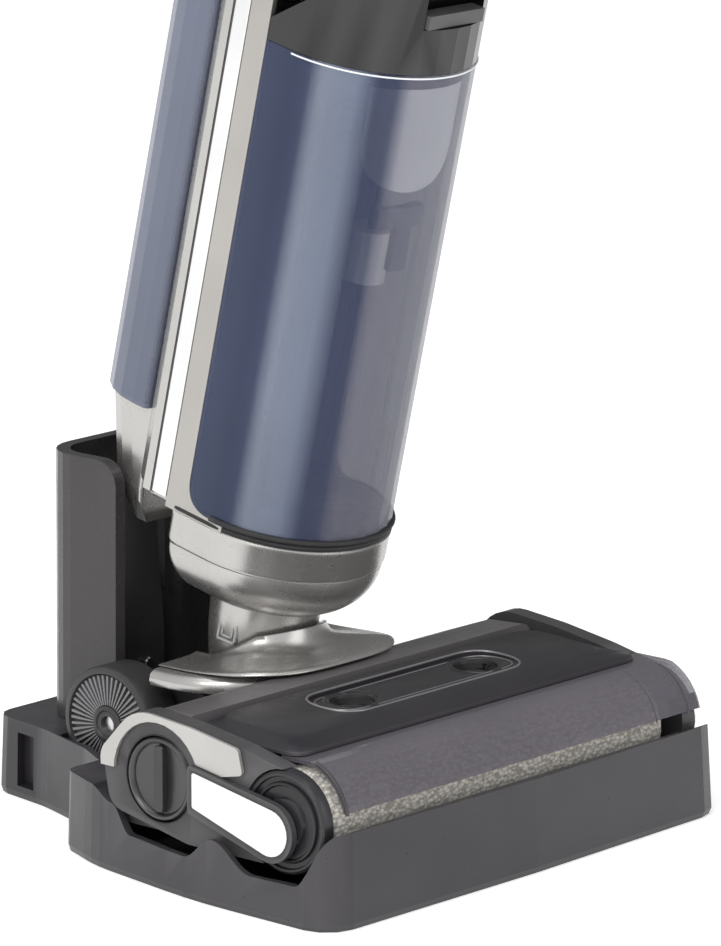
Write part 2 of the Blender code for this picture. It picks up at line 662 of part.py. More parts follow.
def build_drive(head):
    """Brush motor, its pinion, the belt and the dog that turns the roller."""
    high = ROLLER_SHIFT + ROLLER_HALF
    bore = ROLLER_RADIUS - PILE - GAP - CORE_WALL
    belt_low = HEAD_HALF - BELT_POCKET + RUN
    belt_high = HEAD_HALF - RUN
    turned("brush_motor", steel(),
           [(MOTOR_RADIUS - 0.0020, MOTOR_END - MOTOR_LENGTH),
            (MOTOR_RADIUS, MOTOR_END - MOTOR_LENGTH + 0.0020), (MOTOR_RADIUS, MOTOR_END - 0.0020),
            (MOTOR_RADIUS - 0.0020, MOTOR_END),
            (0.0060, MOTOR_END), (0.0060, MOTOR_END + 0.0030)],
           "X", (0, MOTOR_Y, MOTOR_Z), head, sides=24)
    dog = turned("drive_dog", black_plastic(),
                 [(bore - GAP, high - 0.0100), (bore - GAP, high + 0.0014), (bore - 0.006, high + 0.0014),
                  (bore - 0.006, high + 0.0060), (SHAFT_RADIUS, high + 0.0060), (SHAFT_RADIUS, belt_low),
                  (PULLEY_RADIUS - GAP, belt_low), (PULLEY_RADIUS - GAP, belt_high)], "X", (0, 0, ROLLER_Z),
                 head, sides=24)
    pivot(dog, (0, 0, ROLLER_Z))
    pinion = turned("motor_pinion", steel(),
                    [(SHAFT_RADIUS, MOTOR_END + 0.0034), (SHAFT_RADIUS, belt_low),
                     (PINION_RADIUS - GAP, belt_low), (PINION_RADIUS - GAP, belt_high)], "X",
                    (0, MOTOR_Y, MOTOR_Z), head, sides=SMALL_SEGMENTS)
    pivot(pinion, (0, MOTOR_Y, MOTOR_Z))
    corners = ((belt_low, 0.0), (belt_low, BELT_THICK), (belt_high, BELT_THICK), (belt_high, 0.0))
    rings = [[(x, a, b) for a, b in belt_outline(grow)] for x, grow in corners]
    return loft("drive_belt", rubber(), rings, head, True)


def build_end_cap(head):
    """Bright band and dark cap that close the drive end."""
    face = HEAD_HALF + GAP
    outline = rounded([(-0.0080, 0.0672, 0.006), (0.0270, 0.0745, 0.060), (0.0560, 0.0790, 0.060),
                       (0.0910, 0.0825, 0.022), (0.1130, 0.0600, 0.014), (0.1080, 0.0345, 0.010),
                       (0.0600, HEAD_FLOOR + 0.0010, 0.020), (-0.0180, 0.0250, 0.016),
                       (-0.0250, 0.0480, 0.016)])
    cap = prism("drive_end_cap", black_plastic(), outline, "X", face, face + 0.0030, head)
    return soften(cap, 0.0012, 2)


def build_cover(head):
    """Lift-off cover: opaque frame with two finger wells, and the clear roller window."""
    top = COVER_UNDER + 0.0085
    section = rounded([(COVER_FRONT, COVER_UNDER, 0.0), (COVER_FRONT, COVER_UNDER + 0.0016, 0.0008),
                       (COVER_FRONT + 0.024, top - 0.0020, 0.030), (COVER_REAR, top, 0.002),
                       (COVER_REAR, COVER_UNDER, 0.0)])
    cover = prism("roller_cover", dark_plastic(), section, "X", -COVER_HALF, COVER_HALF, head)
    plan = rounded([(-COVER_HALF, COVER_FRONT, 0.010), (COVER_HALF, COVER_FRONT, 0.010),
                    (COVER_HALF - 0.002, COVER_REAR, 0.012), (-COVER_HALF + 0.002, COVER_REAR, 0.012)])
    keep = prism("cover_plan", None, plan, "Z", 0.0, 0.2, head)
    combine(cover, [keep], "INTERSECT")
    well_y = 0.0380
    for sign in (-1, 1):
        spot = (sign * WELL_SPACING / 2, well_y, 0)
        cup = [(WELL_RADIUS, COVER_UNDER + 0.0012), (WELL_RADIUS + 0.0030, 0.0990)]
        cut(cover, turned(f"well_cut_{sign}", None, cup, "Z", spot, head, sides=24))
    radius = 0.0165
    reach = WELL_SPACING / 2 + radius + 0.0050
    bend = radius - 0.0002
    track = rounded([(-reach, well_y - radius, bend), (reach, well_y - radius, bend),
                     (reach, well_y + radius, bend), (-reach, well_y + radius, bend)], 6)
    cut(cover, prism("recess_cut", None, track, "Z", top - 0.0028, 0.1, head))
    build_window(head)
    return cover


def build_window(head):
    """Clear quarter shell over the roller, with its two end walls."""
    first, last = radians(166), radians(93)
    steps = 8
    outer = []
    inner = []
    for i in range(steps + 1):
        angle = first + (last - first) * i / steps
        outer.append((WINDOW_RADIUS * cos(angle), ROLLER_Z + WINDOW_RADIUS * sin(angle)))
        radius = WINDOW_RADIUS - WINDOW_WALL
        inner.append((radius * cos(angle), ROLLER_Z + radius * sin(angle)))
    roof = COVER_UNDER - GAP
    outer = [(a, min(b, roof)) for a, b in outer]
    inner = [(a, min(b, roof - WINDOW_WALL)) for a, b in inner]
    outer.append((WINDOW_REAR, roof))
    inner.append((WINDOW_REAR, roof - WINDOW_WALL))
    section = outer + list(reversed(inner))
    low, high = -HEAD_HALF + PANEL + RUN, HEAD_HALF - GAP
    return prism("roller_window", smoke_clear(), section, "X", low, high, head)


def build_top_housing(head):
    """Rear deck of the head and the flared boot round the neck."""
    half = HEAD_HALF - PANEL - GAP
    deck_rings = []
    for y, width, low, high in ((COVER_REAR + GAP, half, HEAD_TOP + GAP, 0.0800),
                                (0.0900, half - 0.002, 0.0674, 0.0795),
                                (0.1080, half - 0.012, 0.0646, 0.0730)):
        deck_rings.append([(a, y, b) for a, b in rounded(
            [(-width, low, 0.0), (width, low, 0.0), (width, high, 0.006), (-width, high, 0.006)], 3)])
    deck = loft("head_deck", grey_plastic(), deck_rings, head)
    half, depth, z = BOOT_RINGS[0]
    hole = loft("boot_seat_cut", None, [boot_ring(half + RUN, depth + RUN, 0.0),
                                        boot_ring(half + RUN, depth + RUN, 0.2)], head)
    cut(deck, hole)
    return deck


def boot_ring(half, depth, z):
    """Plan ring of the boot: straight at the back, half an ellipse at the front."""
    middle = HINGE_Y - 0.0050
    rise = BOOT_RINGS[0][2] - WHEEL_Z
    back = WHEEL_Y - sqrt(WHEEL_RADIUS ** 2 - rise ** 2) - 4 * RUN
    steps = 18
    ring = []
    for i in range(steps + 1):
        angle = pi + pi * i / steps
        ring.append((half * cos(angle), middle + depth * sin(angle), z))
    return ring + [(half, back, z), (-half, back, z)]


def build_boot(head, body):
    rings = [boot_ring(half, depth, z) for half, depth, z in BOOT_RINGS]
    boot = loft("neck_boot", silver_paint(), rings, head)
    room = NECK_RADIUS + 2 * RUN
    slot = block("boot_slot_cut", None, (-room, HINGE_Y - 0.0100, 0.05), (room, 0.25, 0.12), head)
    sleeve = turned("boot_neck_cut", None, [(room, -0.01), (room, 0.1)], "Z", (0, 0, 0), body)
    return cut(boot, slot, sleeve)


def build_wheels(head):
    for sign, word in ((-1, "left"), (1, "right")):
        at = (sign * (WHEEL_INNER + WHEEL_WIDTH / 2), WHEEL_Y, WHEEL_Z)
        half = WHEEL_WIDTH / 2
        wheel = tube("wheel_" + word, dark_plastic(), WHEEL_RADIUS, STUB_RADIUS + GAP / 3, -half, half,
                     "X", at, head)
        face_low, face_high = sorted((sign * (half - 0.0035), sign * (half + 0.01)))
        dish = tube("wheel_dish_" + word, None, WHEEL_RADIUS - 0.0045, 0.0085, face_low, face_high, "X",
                    at, head)
        cut(wheel, dish)
        pivot_group([wheel, dish], at)
        low, high = sorted((sign * (BARREL_HALF + 0.0060), sign * (WHEEL_INNER + WHEEL_WIDTH - 0.003)))
        turned("wheel_axle_" + word, steel(), [(STUB_RADIUS, low), (STUB_RADIUS, high)], "X",
               (0, WHEEL_Y, WHEEL_Z), head, sides=SMALL_SEGMENTS)


def scraper_outline(grow):
    """Slanted blade that wipes the roller from behind."""
    rear = SCRAPER_FRONT + 0.0114
    edge = ROLLER_Z + 0.0101
    thick = 0.0035
    return [(SCRAPER_FRONT - grow, edge - grow), (rear + grow, edge + 0.0040 - grow),
            (rear + grow, edge + 0.0040 + thick + grow), (SCRAPER_FRONT - grow, edge + thick + grow)]


def build_scraper(head):
    return prism("scraper", rubber(), scraper_outline(0.0), "X", -SCRAPER_HALF, SCRAPER_HALF, head)


# ---------------------------------------------------------------- body
def tank_section(radius, back, corner=0.006):
    """Round-fronted section with a flat back."""
    points = []
    steps = 16
    for i in range(steps + 1):
        angle = pi + pi * i / steps
        points.append((radius * cos(angle), radius * sin(angle)))
    tail = rounded([(radius, 0.0, 0.0), (radius, back, corner), (-radius, back, corner),
                    (-radius, 0.0, 0.0)], 3)
    return points + tail[1:-1]


def ring_at(section, w):
    return [(a, b, w) for a, b in section]


def build_neck(body):
    """Tapered neck with the hinge barrel at its foot and a duct down its middle."""
    neck = turned("neck", silver_paint(),
                  [(0.0180, 0.0020), (NECK_FOOT_RADIUS, 0.0160), (NECK_RADIUS - 0.0020, 0.0300),
                   (NECK_RADIUS, BOWL_FOOT - GAP - 0.002), (0.0200, BOWL_FOOT - GAP - 0.001),
                   (0.0200, BOWL_FOOT + 0.0080)], "Z", (0, 0, 0), body)
    barrel = turned("barrel_part", None, [(BARREL_RADIUS, -BARREL_HALF), (BARREL_RADIUS, BARREL_HALF)], "X",
                    (0, 0, 0), body)
    fuse(neck, barrel)
    duct = turned("duct_cut", None, [(0.0120, 0.0220), (0.0120, 0.1)], "Z", (0, 0, 0), body,
                  sides=SMALL_SEGMENTS)
    pin = turned("neck_pin_cut", None, [(PIN_RADIUS + GAP, -0.1), (PIN_RADIUS + GAP, 0.1)], "X", (0, 0, 0),
                 body, sides=SMALL_SEGMENTS)
    return cut(neck, duct, pin)


def build_hinge_pin(head):
    """Steel pin through the cheeks of the head and the barrel of the neck."""
    turned("hinge_pin", steel(), [(PIN_RADIUS, -0.0390), (PIN_RADIUS, 0.0390)], "X",
           (0, HINGE_Y, HINGE_Z), head, sides=SMALL_SEGMENTS)


def build_bowl(body):
    """Cup that carries the waste tank: lower dome and upper band."""
    rings = []
    for w, share in ((BOWL_FOOT, 0.48), (BOWL_FOOT + 0.0030, 0.62), (BOWL_FOOT + 0.0090, 0.76),
                     (BOWL_FOOT + 0.0180, 0.885), (BOWL_FOOT + 0.0270, 0.955), (BAND_FOOT, 0.985)):
        rings.append(ring_at(tank_section(TANK_RADIUS * share, (TANK_BACK - 0.001) * share, 0.005), w))
    rings.append(ring_at(tank_section(TANK_RADIUS, TANK_BACK - 0.001), BAND_FOOT + 0.006))
    rim = TANK_FOOT - 0.0030
    rings.append(ring_at(tank_section(TANK_RADIUS, TANK_BACK - 0.001), rim))
    wall = 0.0028
    rings.append(ring_at(tank_section(TANK_RADIUS - wall, TANK_BACK - 0.001 - wall, 0.004), rim))
    rings.append(ring_at(tank_section(TANK_RADIUS - wall, TANK_BACK - 0.001 - wall, 0.004),
                         BAND_FOOT + 0.008))
    rings.append(ring_at(tank_section(TANK_RADIUS * 0.7, (TANK_BACK - 0.001) * 0.7, 0.004),
                         BOWL_FOOT + 0.0220))
    bowl = loft("tank_bowl", silver_paint(), rings, body)
    bore = turned("bowl_bore_cut", None, [(0.0203, 0.0), (0.0203, 0.2)], "Z", (0, 0, 0), body)
    return cut(bowl, bore)


def build_gasket(body):
    low, high = TANK_FOOT - 0.0030 + GAP, TANK_FOOT - GAP
    outer = tank_section(TANK_RADIUS + 0.0004, TANK_BACK - 0.001)
    inner = tank_section(TANK_RADIUS - 0.0050, TANK_BACK - 0.0060, 0.003)
    rings = [ring_at(outer, low), ring_at(outer, high), ring_at(inner, high), ring_at(inner, low)]
    return loft("bowl_gasket", rubber(), rings, body, True)


def slope_height(u):
    """Height of the sloping joint between the tank lid and the motor housing."""
    return TANK_FOOT + TANK_LENGTH + LID_FRONT - (u + TANK_RADIUS) * tan(LID_SLOPE)


def build_spine(body):
    """Load-bearing frame between the two tanks."""
    front = TANK_BACK + RUN
    outline = rounded([(-SPINE_HALF - 0.004, front, 0.0), (-SPINE_HALF - 0.004, front + 0.014, 0.003),
                       (-SPINE_HALF, front + 0.018, 0.003), (-SPINE_HALF + 0.006, SPINE_BACK, 0.004),
                       (SPINE_HALF - 0.006, SPINE_BACK, 0.004), (SPINE_HALF, front + 0.018, 0.003),
                       (SPINE_HALF + 0.004, front + 0.014, 0.003), (SPINE_HALF + 0.004, front, 0.0)], 3)
    spine = prism("spine_frame", silver_paint(), outline, "Z", SPINE_FOOT, SPINE_TOP, body)
    channel = block("spine_cut", None, (-0.0300, front + 0.004, SPINE_FOOT + 0.02),
                    (0.0300, SPINE_BACK - 0.004, SPINE_TOP + 0.1), body)
    cut(spine, channel)
    build_spine_foot(body)
    return spine


def build_spine_foot(body):
    """Rounded shell under the clean tank; it drops into the dock's column."""
    low, high = SPINE_FOOT, CLEAN_FOOT - GAP
    front = SPINE_BACK + 2 * GAP
    rings = []
    for w, share, back in ((low, 0.86, 0.0800), (low + 0.015, 0.92, 0.0900),
                           (high, 0.95, CLEAN_BACK - 0.004)):
        half = (CLEAN_HALF - 0.003) * share
        rings.append(ring_at(rounded([(-half, front, 0.002), (half, front, 0.002),
                                      (half, back, 0.026), (-half, back, 0.026)], 5), w))
    return loft("spine_foot", silver_paint(), rings, body)


def build_rails(body):
    """Bright edge rails beside the waste tank."""
    low, high = TANK_FOOT + 0.0010, SPINE_TOP
    for sign, word in ((-1, "left"), (1, "right")):
        inner = sign * (SPINE_HALF + 0.004 + GAP)
        outer = sign * (TANK_RADIUS + 0.0005)
        a, b = sorted((inner, outer))
        front = TANK_BACK + 2 * RUN
        prism("side_rail_" + word, bright_silver(),
              rounded([(a, front, 0.0004), (b, front, 0.0004), (b, front + RAIL_DEPTH, 0.0004),
                       (a, front + RAIL_DEPTH, 0.0004)], 2), "Z", low, high, body)


def build_waste_tank(body):
    """Clear tank with its flat back."""
    low, high = TANK_FOOT, TANK_FOOT + TANK_LENGTH
    outer = tank_section(TANK_RADIUS, TANK_BACK)
    inner = tank_section(TANK_RADIUS - TANK_WALL, TANK_BACK - TANK_WALL, 0.004)
    outer_foot = tank_section(TANK_RADIUS - 0.0012, TANK_BACK - 0.0012, 0.005)
    rings = [ring_at(outer_foot, low), ring_at(outer, low + 0.0012), ring_at(outer, high),
             ring_at(inner, high), ring_at(inner, low + 0.0030)]
    tank = loft("waste_tank", smoke_clear(), rings, body)
    bore = turned("riser_cut", None, [(RISER_RADIUS, 0.0), (RISER_RADIUS, 0.3)], "Z", (0, 0.004, 0), body,
                  sides=SMALL_SEGMENTS)
    cut(tank, bore)
    build_riser(body, low + 0.0005, high - 0.0500)
    float_low = low + 0.110
    ball = tube("tank_float", material("float_foam", (0.75, 0.73, 0.68), 0.6), FLOAT_RADIUS,
                ROD_RADIUS + 2 * GAP, float_low, float_low + 0.0260, "Z", (ROD_X, 0.0020, 0), body,
                SMALL_SEGMENTS)
    pivot(ball, (ROD_X, 0.0020, float_low))
    return tank


def build_riser(body, low, top):
    """Suction riser with a splash hood held by two ribs."""
    riser = tube("tank_riser", grey_plastic(), RISER_RADIUS - GAP, 0.0100, low, top, "Z", (0, 0.004, 0), body,
                 SMALL_SEGMENTS)
    hood = turned("hood_part", None, [(0.0170, top + 0.0180), (0.0150, top + 0.0215)], "Z",
                  (0, 0.004, 0), body, sides=SMALL_SEGMENTS)
    fuse(riser, hood)
    for sign in (-1, 1):
        a, b = sorted((sign * 0.0095, sign * 0.0118))
        rib = block(f"rib_part_{sign}", None, (a, 0.0010, top - 0.0100), (b, 0.0070, top + 0.0190), body)
        fuse(riser, rib)
    return riser


def build_lid(body):
    """Tank lid: plug, sloping top, finger recess and the release strip."""
    low = TANK_FOOT + TANK_LENGTH + GAP
    section = tank_section(TANK_RADIUS, TANK_BACK)
    rings = [ring_at(section, low), [(a, b, slope_height(b)) for a, b in section]]
    lid = loft("tank_lid", black_plastic(), rings, body)
    plug_outer = tank_section(TANK_RADIUS - TANK_WALL - 0.0010, TANK_BACK - TANK_WALL - 0.0010, 0.004)
    plug = loft("lid_plug", None, [ring_at(plug_outer, low - 0.0080), ring_at(plug_outer, low + 0.004)], body)
    rod_low = TANK_FOOT + 0.098
    rod = turned("rod_part", None, [(ROD_RADIUS, rod_low), (ROD_RADIUS, low)], "Z", (ROD_X, 0.0020, 0), body,
                 sides=12)
    fuse(lid, plug, rod)
    recess = block("lid_recess_cut", None, (-0.0200, -TANK_RADIUS - 0.0180, low + 0.0220),
                   (0.0200, -TANK_RADIUS + 0.0140, low + 0.0480), body)
    room = FILTER_HALF + 0.0005
    bay = block("filter_bay_cut", None, (-room, -TANK_RADIUS + 0.0220, low - 0.02),
                (room, 0.0140, low + 0.0100), body)
    cut(lid, recess, bay)
    face = -TANK_RADIUS + 0.0020
    button = prism("tank_release", grey_plastic(),
                   [(face, low + 0.0225), (face + 0.0080, low + 0.0225), (face + 0.0080, low + 0.0290),
                    (face, low + 0.0290)], "X", -0.0190, 0.0190, body)
    pivot(button, (0, face, low + 0.0258))
    filter_low = low - 0.0100
    block("tank_filter", material("filter_pleats", (0.78, 0.76, 0.70), 0.9),
          (-FILTER_HALF, -TANK_RADIUS + 0.0230, filter_low),
          (FILTER_HALF, 0.0130, low + 0.0095), body, 0.002)
    return lid


def clean_section(half, front, back, corner):
    return rounded([(-half, front, 0.003), (half, front, 0.003), (half, back, corner),
                    (-half, back, corner)], 6)


def build_clean_tank(body):
    """Rear tank for clean water, with its filler cap on top."""
    low, high = CLEAN_FOOT, CLEAN_FOOT + CLEAN_LENGTH
    front = SPINE_BACK + RUN
    wall = 0.0022
    outer = clean_section(CLEAN_HALF, front, CLEAN_BACK, 0.0360)
    inner = clean_section(CLEAN_HALF - wall, front + wall, CLEAN_BACK - wall, 0.0340)
    rings = [ring_at(outer, low), ring_at(outer, high), ring_at(inner, high), ring_at(inner, low + 0.0025)]
    loft("clean_tank", smoke_clear(), rings, body)
    top_low = high + GAP
    top = loft("clean_tank_top", black_plastic(),
               [ring_at(outer, top_low), ring_at(outer, top_low + 0.0060),
                ring_at(clean_section(CLEAN_HALF - 0.004, front + 0.003, CLEAN_BACK - 0.004, 0.0330),
                        top_low + 0.0090)], body)
    cap_low = top_low + 0.0090 + GAP
    cap = turned("filler_cap", grey_plastic(), [(0.0130, cap_low), (0.0130, cap_low + 0.0060),
                                                (0.0115, cap_low + 0.0075)], "Z", (0, 0.0800, 0), body,
                 sides=24)
    pivot(cap, (0, 0.0800, cap_low))
    return top


def housing_section(radius, back):
    """Oval section of the motor housing."""
    return tank_section(radius, back, min(0.024, back * 0.5))


def build_housing(body):
    """Two shells round the battery and the suction motor."""
    foot = TANK_FOOT + TANK_LENGTH
    top = HOUSING_TOP
    section = housing_section(TANK_RADIUS, 0.1000)
    rings = [ring_at(section, foot), ring_at(section, top - 0.10),
             ring_at(housing_section(TANK_RADIUS - 0.006, 0.0800), top - 0.045),
             ring_at(housing_section(TANK_RADIUS - 0.022, 0.0420), top)]
    shell = loft("motor_housing", dark_plastic(), rings, body)
    u0, u1 = -TANK_RADIUS - 0.02, TANK_BACK + RUN
    gap = RUN / cos(LID_SLOPE)
    wedge = [(u0, foot - 0.02), (u1, foot - 0.02), (u1, slope_height(u1) + gap),
             (u0, slope_height(u0) + gap)]
    wedge_cut = prism("lid_room_cut", None, wedge, "X", -0.2, 0.2, body)
    rear = block("clean_room_cut", None, (-0.2, TANK_BACK, foot - 0.02),
                 (0.2, 0.2, CLEAN_FOOT + CLEAN_LENGTH + 0.0220), body)
    bay = block("housing_bay_cut", None, (-BAY_HALF, -BAY_FRONT, BAY_FOOT), (BAY_HALF, 0.0380, BAY_TOP), body,
                0.004)
    mouth = block("bay_mouth_cut", None, (-MOUTH_HALF, 0.0300, BAY_FOOT), (MOUTH_HALF, 0.2000, MOUTH_TOP),
                  body)
    dial = turned("display_cut", None,
                  [(DISPLAY_RADIUS + GAP, -0.2), (DISPLAY_RADIUS + GAP, 0.0060 - TANK_RADIUS)], "Y",
                  (0, 0, DISPLAY_W), body, sides=24)
    cut(shell, wedge_cut, rear, bay, mouth, dial)
    build_housing_contents(body)
    return shell


def build_housing_contents(body):
    """Suction motor, battery, display lens and the rear cover of the bay."""
    turned("suction_motor", steel(),
           [(BAY_HALF - 0.0090, BAY_FOOT + 0.0020), (BAY_HALF - 0.0030, BAY_FOOT + 0.0060),
            (BAY_HALF - 0.0030, BAY_FOOT + 0.0420), (BAY_HALF - 0.0150, BAY_FOOT + 0.0460),
            (BAY_HALF - 0.0150, BAY_FOOT + 0.0600)], "Z", (0, 0.0050, 0), body, sides=24)
    block("battery_pack", material("battery_wrap", (0.05, 0.16, 0.32), 0.45),
          (-BAY_HALF + RUN, 0.0050 - BAY_FRONT, BAY_FOOT + 0.0700),
          (BAY_HALF - RUN, 0.0330, BAY_TOP - 0.0040), body, 0.006)
    turned("display_lens", black_plastic(),
           [(DISPLAY_RADIUS, 0.0058 - TANK_RADIUS), (DISPLAY_RADIUS, 0.0012 - TANK_RADIUS),
            (DISPLAY_RADIUS - 0.0012, 0.0002 - TANK_RADIUS)], "Y",
           (0, 0, DISPLAY_W), body, sides=24)
    half = MOUTH_HALF - GAP
    block("bay_cover", dark_plastic(), (-half, 0.0960, BAY_FOOT + GAP), (half, 0.0995, MOUTH_TOP - GAP), body)


def build_handle(body):
    """Handle tube with a rear-facing loop grip, its trigger and buttons."""
    foot = HOUSING_TOP + GAP
    centre_u = -0.0050
    tube("handle_tube", silver_paint(), TUBE_RADIUS, TUBE_RADIUS - 0.002, foot, TUBE_TOP, "Z",
         (0, centre_u, 0), body, 24)
    low = TUBE_TOP + GAP
    path = [(centre_u, low, 0.0170), (centre_u, low + 0.030, 0.0175), (centre_u + 0.006, low + 0.070, 0.0165),
            (centre_u + 0.022, low + 0.105, 0.0155), (centre_u + 0.048, low + 0.135, 0.0150),
            (centre_u + 0.080, low + 0.155, 0.0150), (centre_u + 0.112, low + 0.166, 0.0145)]
    rings = []
    for i, (u, w, radius) in enumerate(path):
        before = path[max(i - 1, 0)]
        after = path[min(i + 1, len(path) - 1)]
        angle = atan2(after[0] - before[0], after[1] - before[1])
        rings.append([(radius * cos(t), u + radius * sin(t) * cos(angle), w - radius * sin(t) * sin(angle))
                      for t in (2 * pi * j / 20 for j in range(20))])
    grip = loft("grip", black_plastic(), rings, body)
    for word, w in (("power", low + 0.0160), ("mode", low + 0.0360)):
        front = centre_u - 0.0200
        centre = (0, 0, w)
        cut(grip, turned(f"{word}_button_cut", None,
                         [(BUTTON_RADIUS + GAP, -0.1), (BUTTON_RADIUS + GAP, front + 0.0080)], "Y",
                         centre, body, sides=SMALL_SEGMENTS))
        button = turned(f"{word}_button", grey_plastic(),
                        [(BUTTON_RADIUS - 0.0010, front), (BUTTON_RADIUS, front + 0.0010),
                         (BUTTON_RADIUS, front + 0.0062)], "Y", centre, body, sides=SMALL_SEGMENTS)
        pivot(button, (0, front, w))
    return grip


def main():
    for obj in list(bpy.data.objects):
        bpy.data.objects.remove(obj)
    build_tray()
    build_feet()
    build_column()
    build_dock_fittings()
    head = empty("head_frame", (0, 0, 0))
    build_chassis(head)
    build_left_panel(head)
    build_right_panel(head)
    build_side_plate(head)
    build_knob(head)
    build_roller(head)
    build_drive(head)
    build_end_cap(head)
    build_cover(head)
    build_top_housing(head)
    build_wheels(head)
    build_scraper(head)
    build_hinge_pin(head)
    body = empty("body_frame", (0, HINGE_Y, HINGE_Z), LEAN, head)
    build_boot(head, body)
    build_neck(body)
    build_bowl(body)
    build_gasket(body)
    build_spine(body)
    build_rails(body)
    build_waste_tank(body)
    build_lid(body)
    build_clean_tank(body)
    build_housing(body)
    build_handle(body)


main()
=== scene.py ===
"""Looks for the wet dry floor scrubber in its self-cleaning dock.

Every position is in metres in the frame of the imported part: +Z up, +X to the machine's
right, -Y to its front.  Pieces of the upright body are made in its own leaning frame.
"""
import math

import bmesh
import bpy
import numpy as np
from mathutils import Matrix, Vector


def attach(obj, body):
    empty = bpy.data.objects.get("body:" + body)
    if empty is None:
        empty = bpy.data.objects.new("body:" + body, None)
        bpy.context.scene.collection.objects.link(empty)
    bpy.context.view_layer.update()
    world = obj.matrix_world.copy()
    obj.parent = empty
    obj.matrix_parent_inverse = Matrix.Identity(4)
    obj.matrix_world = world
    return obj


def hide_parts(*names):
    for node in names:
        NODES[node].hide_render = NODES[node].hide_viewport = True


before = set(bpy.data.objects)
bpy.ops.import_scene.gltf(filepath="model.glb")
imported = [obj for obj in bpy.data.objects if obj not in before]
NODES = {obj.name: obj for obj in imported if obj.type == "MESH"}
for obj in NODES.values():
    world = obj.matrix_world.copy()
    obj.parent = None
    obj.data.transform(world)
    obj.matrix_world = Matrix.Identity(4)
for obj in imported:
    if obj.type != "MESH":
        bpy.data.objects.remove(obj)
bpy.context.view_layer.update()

# ---------------------------------------------------------------- places and sizes
LEAN = math.radians(13.0)
HINGE = Vector((0.0, 0.1437, 0.0520))
BODY = Matrix.Translation(HINGE) @ Matrix.Rotation(LEAN, 4, "X")

# waste tank, bowl and spine, in the leaning frame (x across, u to the rear, w up)
TANK_RADIUS = 0.0520
TANK_BACK = 0.0270
TANK_FOOT = 0.1035
TANK_TOP = 0.3385
TANK_WALL = 0.0032
BOWL_FOOT = 0.0572
BAND_FOOT = 0.0840        # start of the bowl's upper band
BOWL_BACK = TANK_BACK - 0.0010
BOWL_TOP = TANK_FOOT - 0.0028
SPINE_HALF = 0.0460
SPINE_LIP = 0.0040        # the spine's front half is wider by this on each side
SPINE_FRONT = 0.0280
SPINE_BACK = 0.0580
SPINE_TOP = 0.3860
TRIM_FOOT = 0.1030
HOUSING_BACK = 0.0995
HOUSING_SLOPE = math.tan(math.radians(38.0))

# head, in the object's frame
HEAD_HALF = 0.1330
ROLLER_Z = 0.0449
ROLLER_RADIUS = 0.0240
PILE_LOW_X, PILE_HIGH_X = -0.1250, 0.1110
KNOB = Vector((0.0, 0.0777, 0.0515))
KNOB_BAR_HALF, KNOB_BAR_REACH = 0.0029, 0.0160
WHEEL_Y, WHEEL_Z, WHEEL_RADIUS = 0.1715, 0.0485, 0.0282
WHEEL_INNER, WHEEL_WIDTH = 0.0485, 0.0215
WHEEL_RIBS = 48
BOOT_MIDDLE, BOOT_REAR = 0.1387, 0.1490
COLLAR_PAST = 0.35        # radians that the boot's collars run on behind the hinge
SADDLE_FOOT = 0.0840      # above this the collar rises more at the front than at the sides
COVER_HALF, COVER_FRONT, COVER_REAR = 0.1222, 0.0013, 0.0697
COVER_UNDER = 0.0730
COVER_EDGE, COVER_RISE = 0.0775, 0.0037
WELL_Y, WELL_SPACING = 0.0380, 0.0880
RECESS_RADIUS = 0.0165
RECESS_REACH = WELL_SPACING / 2 + RECESS_RADIUS + 0.0050
RECESS_FLOOR = 0.0784
ABOVE_COVER = 0.0900      # cutters reach up to here
WINDOW_RADIUS = 0.0286

# stage
FLOOR_SIZE = 14.0
FLOOR_DROP = 0.0002
LENS = 257.23
CAMERA_PLACE = (-2.32344, -1.98416, 0.86964)
CAMERA_TURN = (math.radians(77.371), 0.0, math.radians(-48.495))
LIGHT_TARGET = (0.0, 0.0, 0.2)

rng = np.random.default_rng(7)


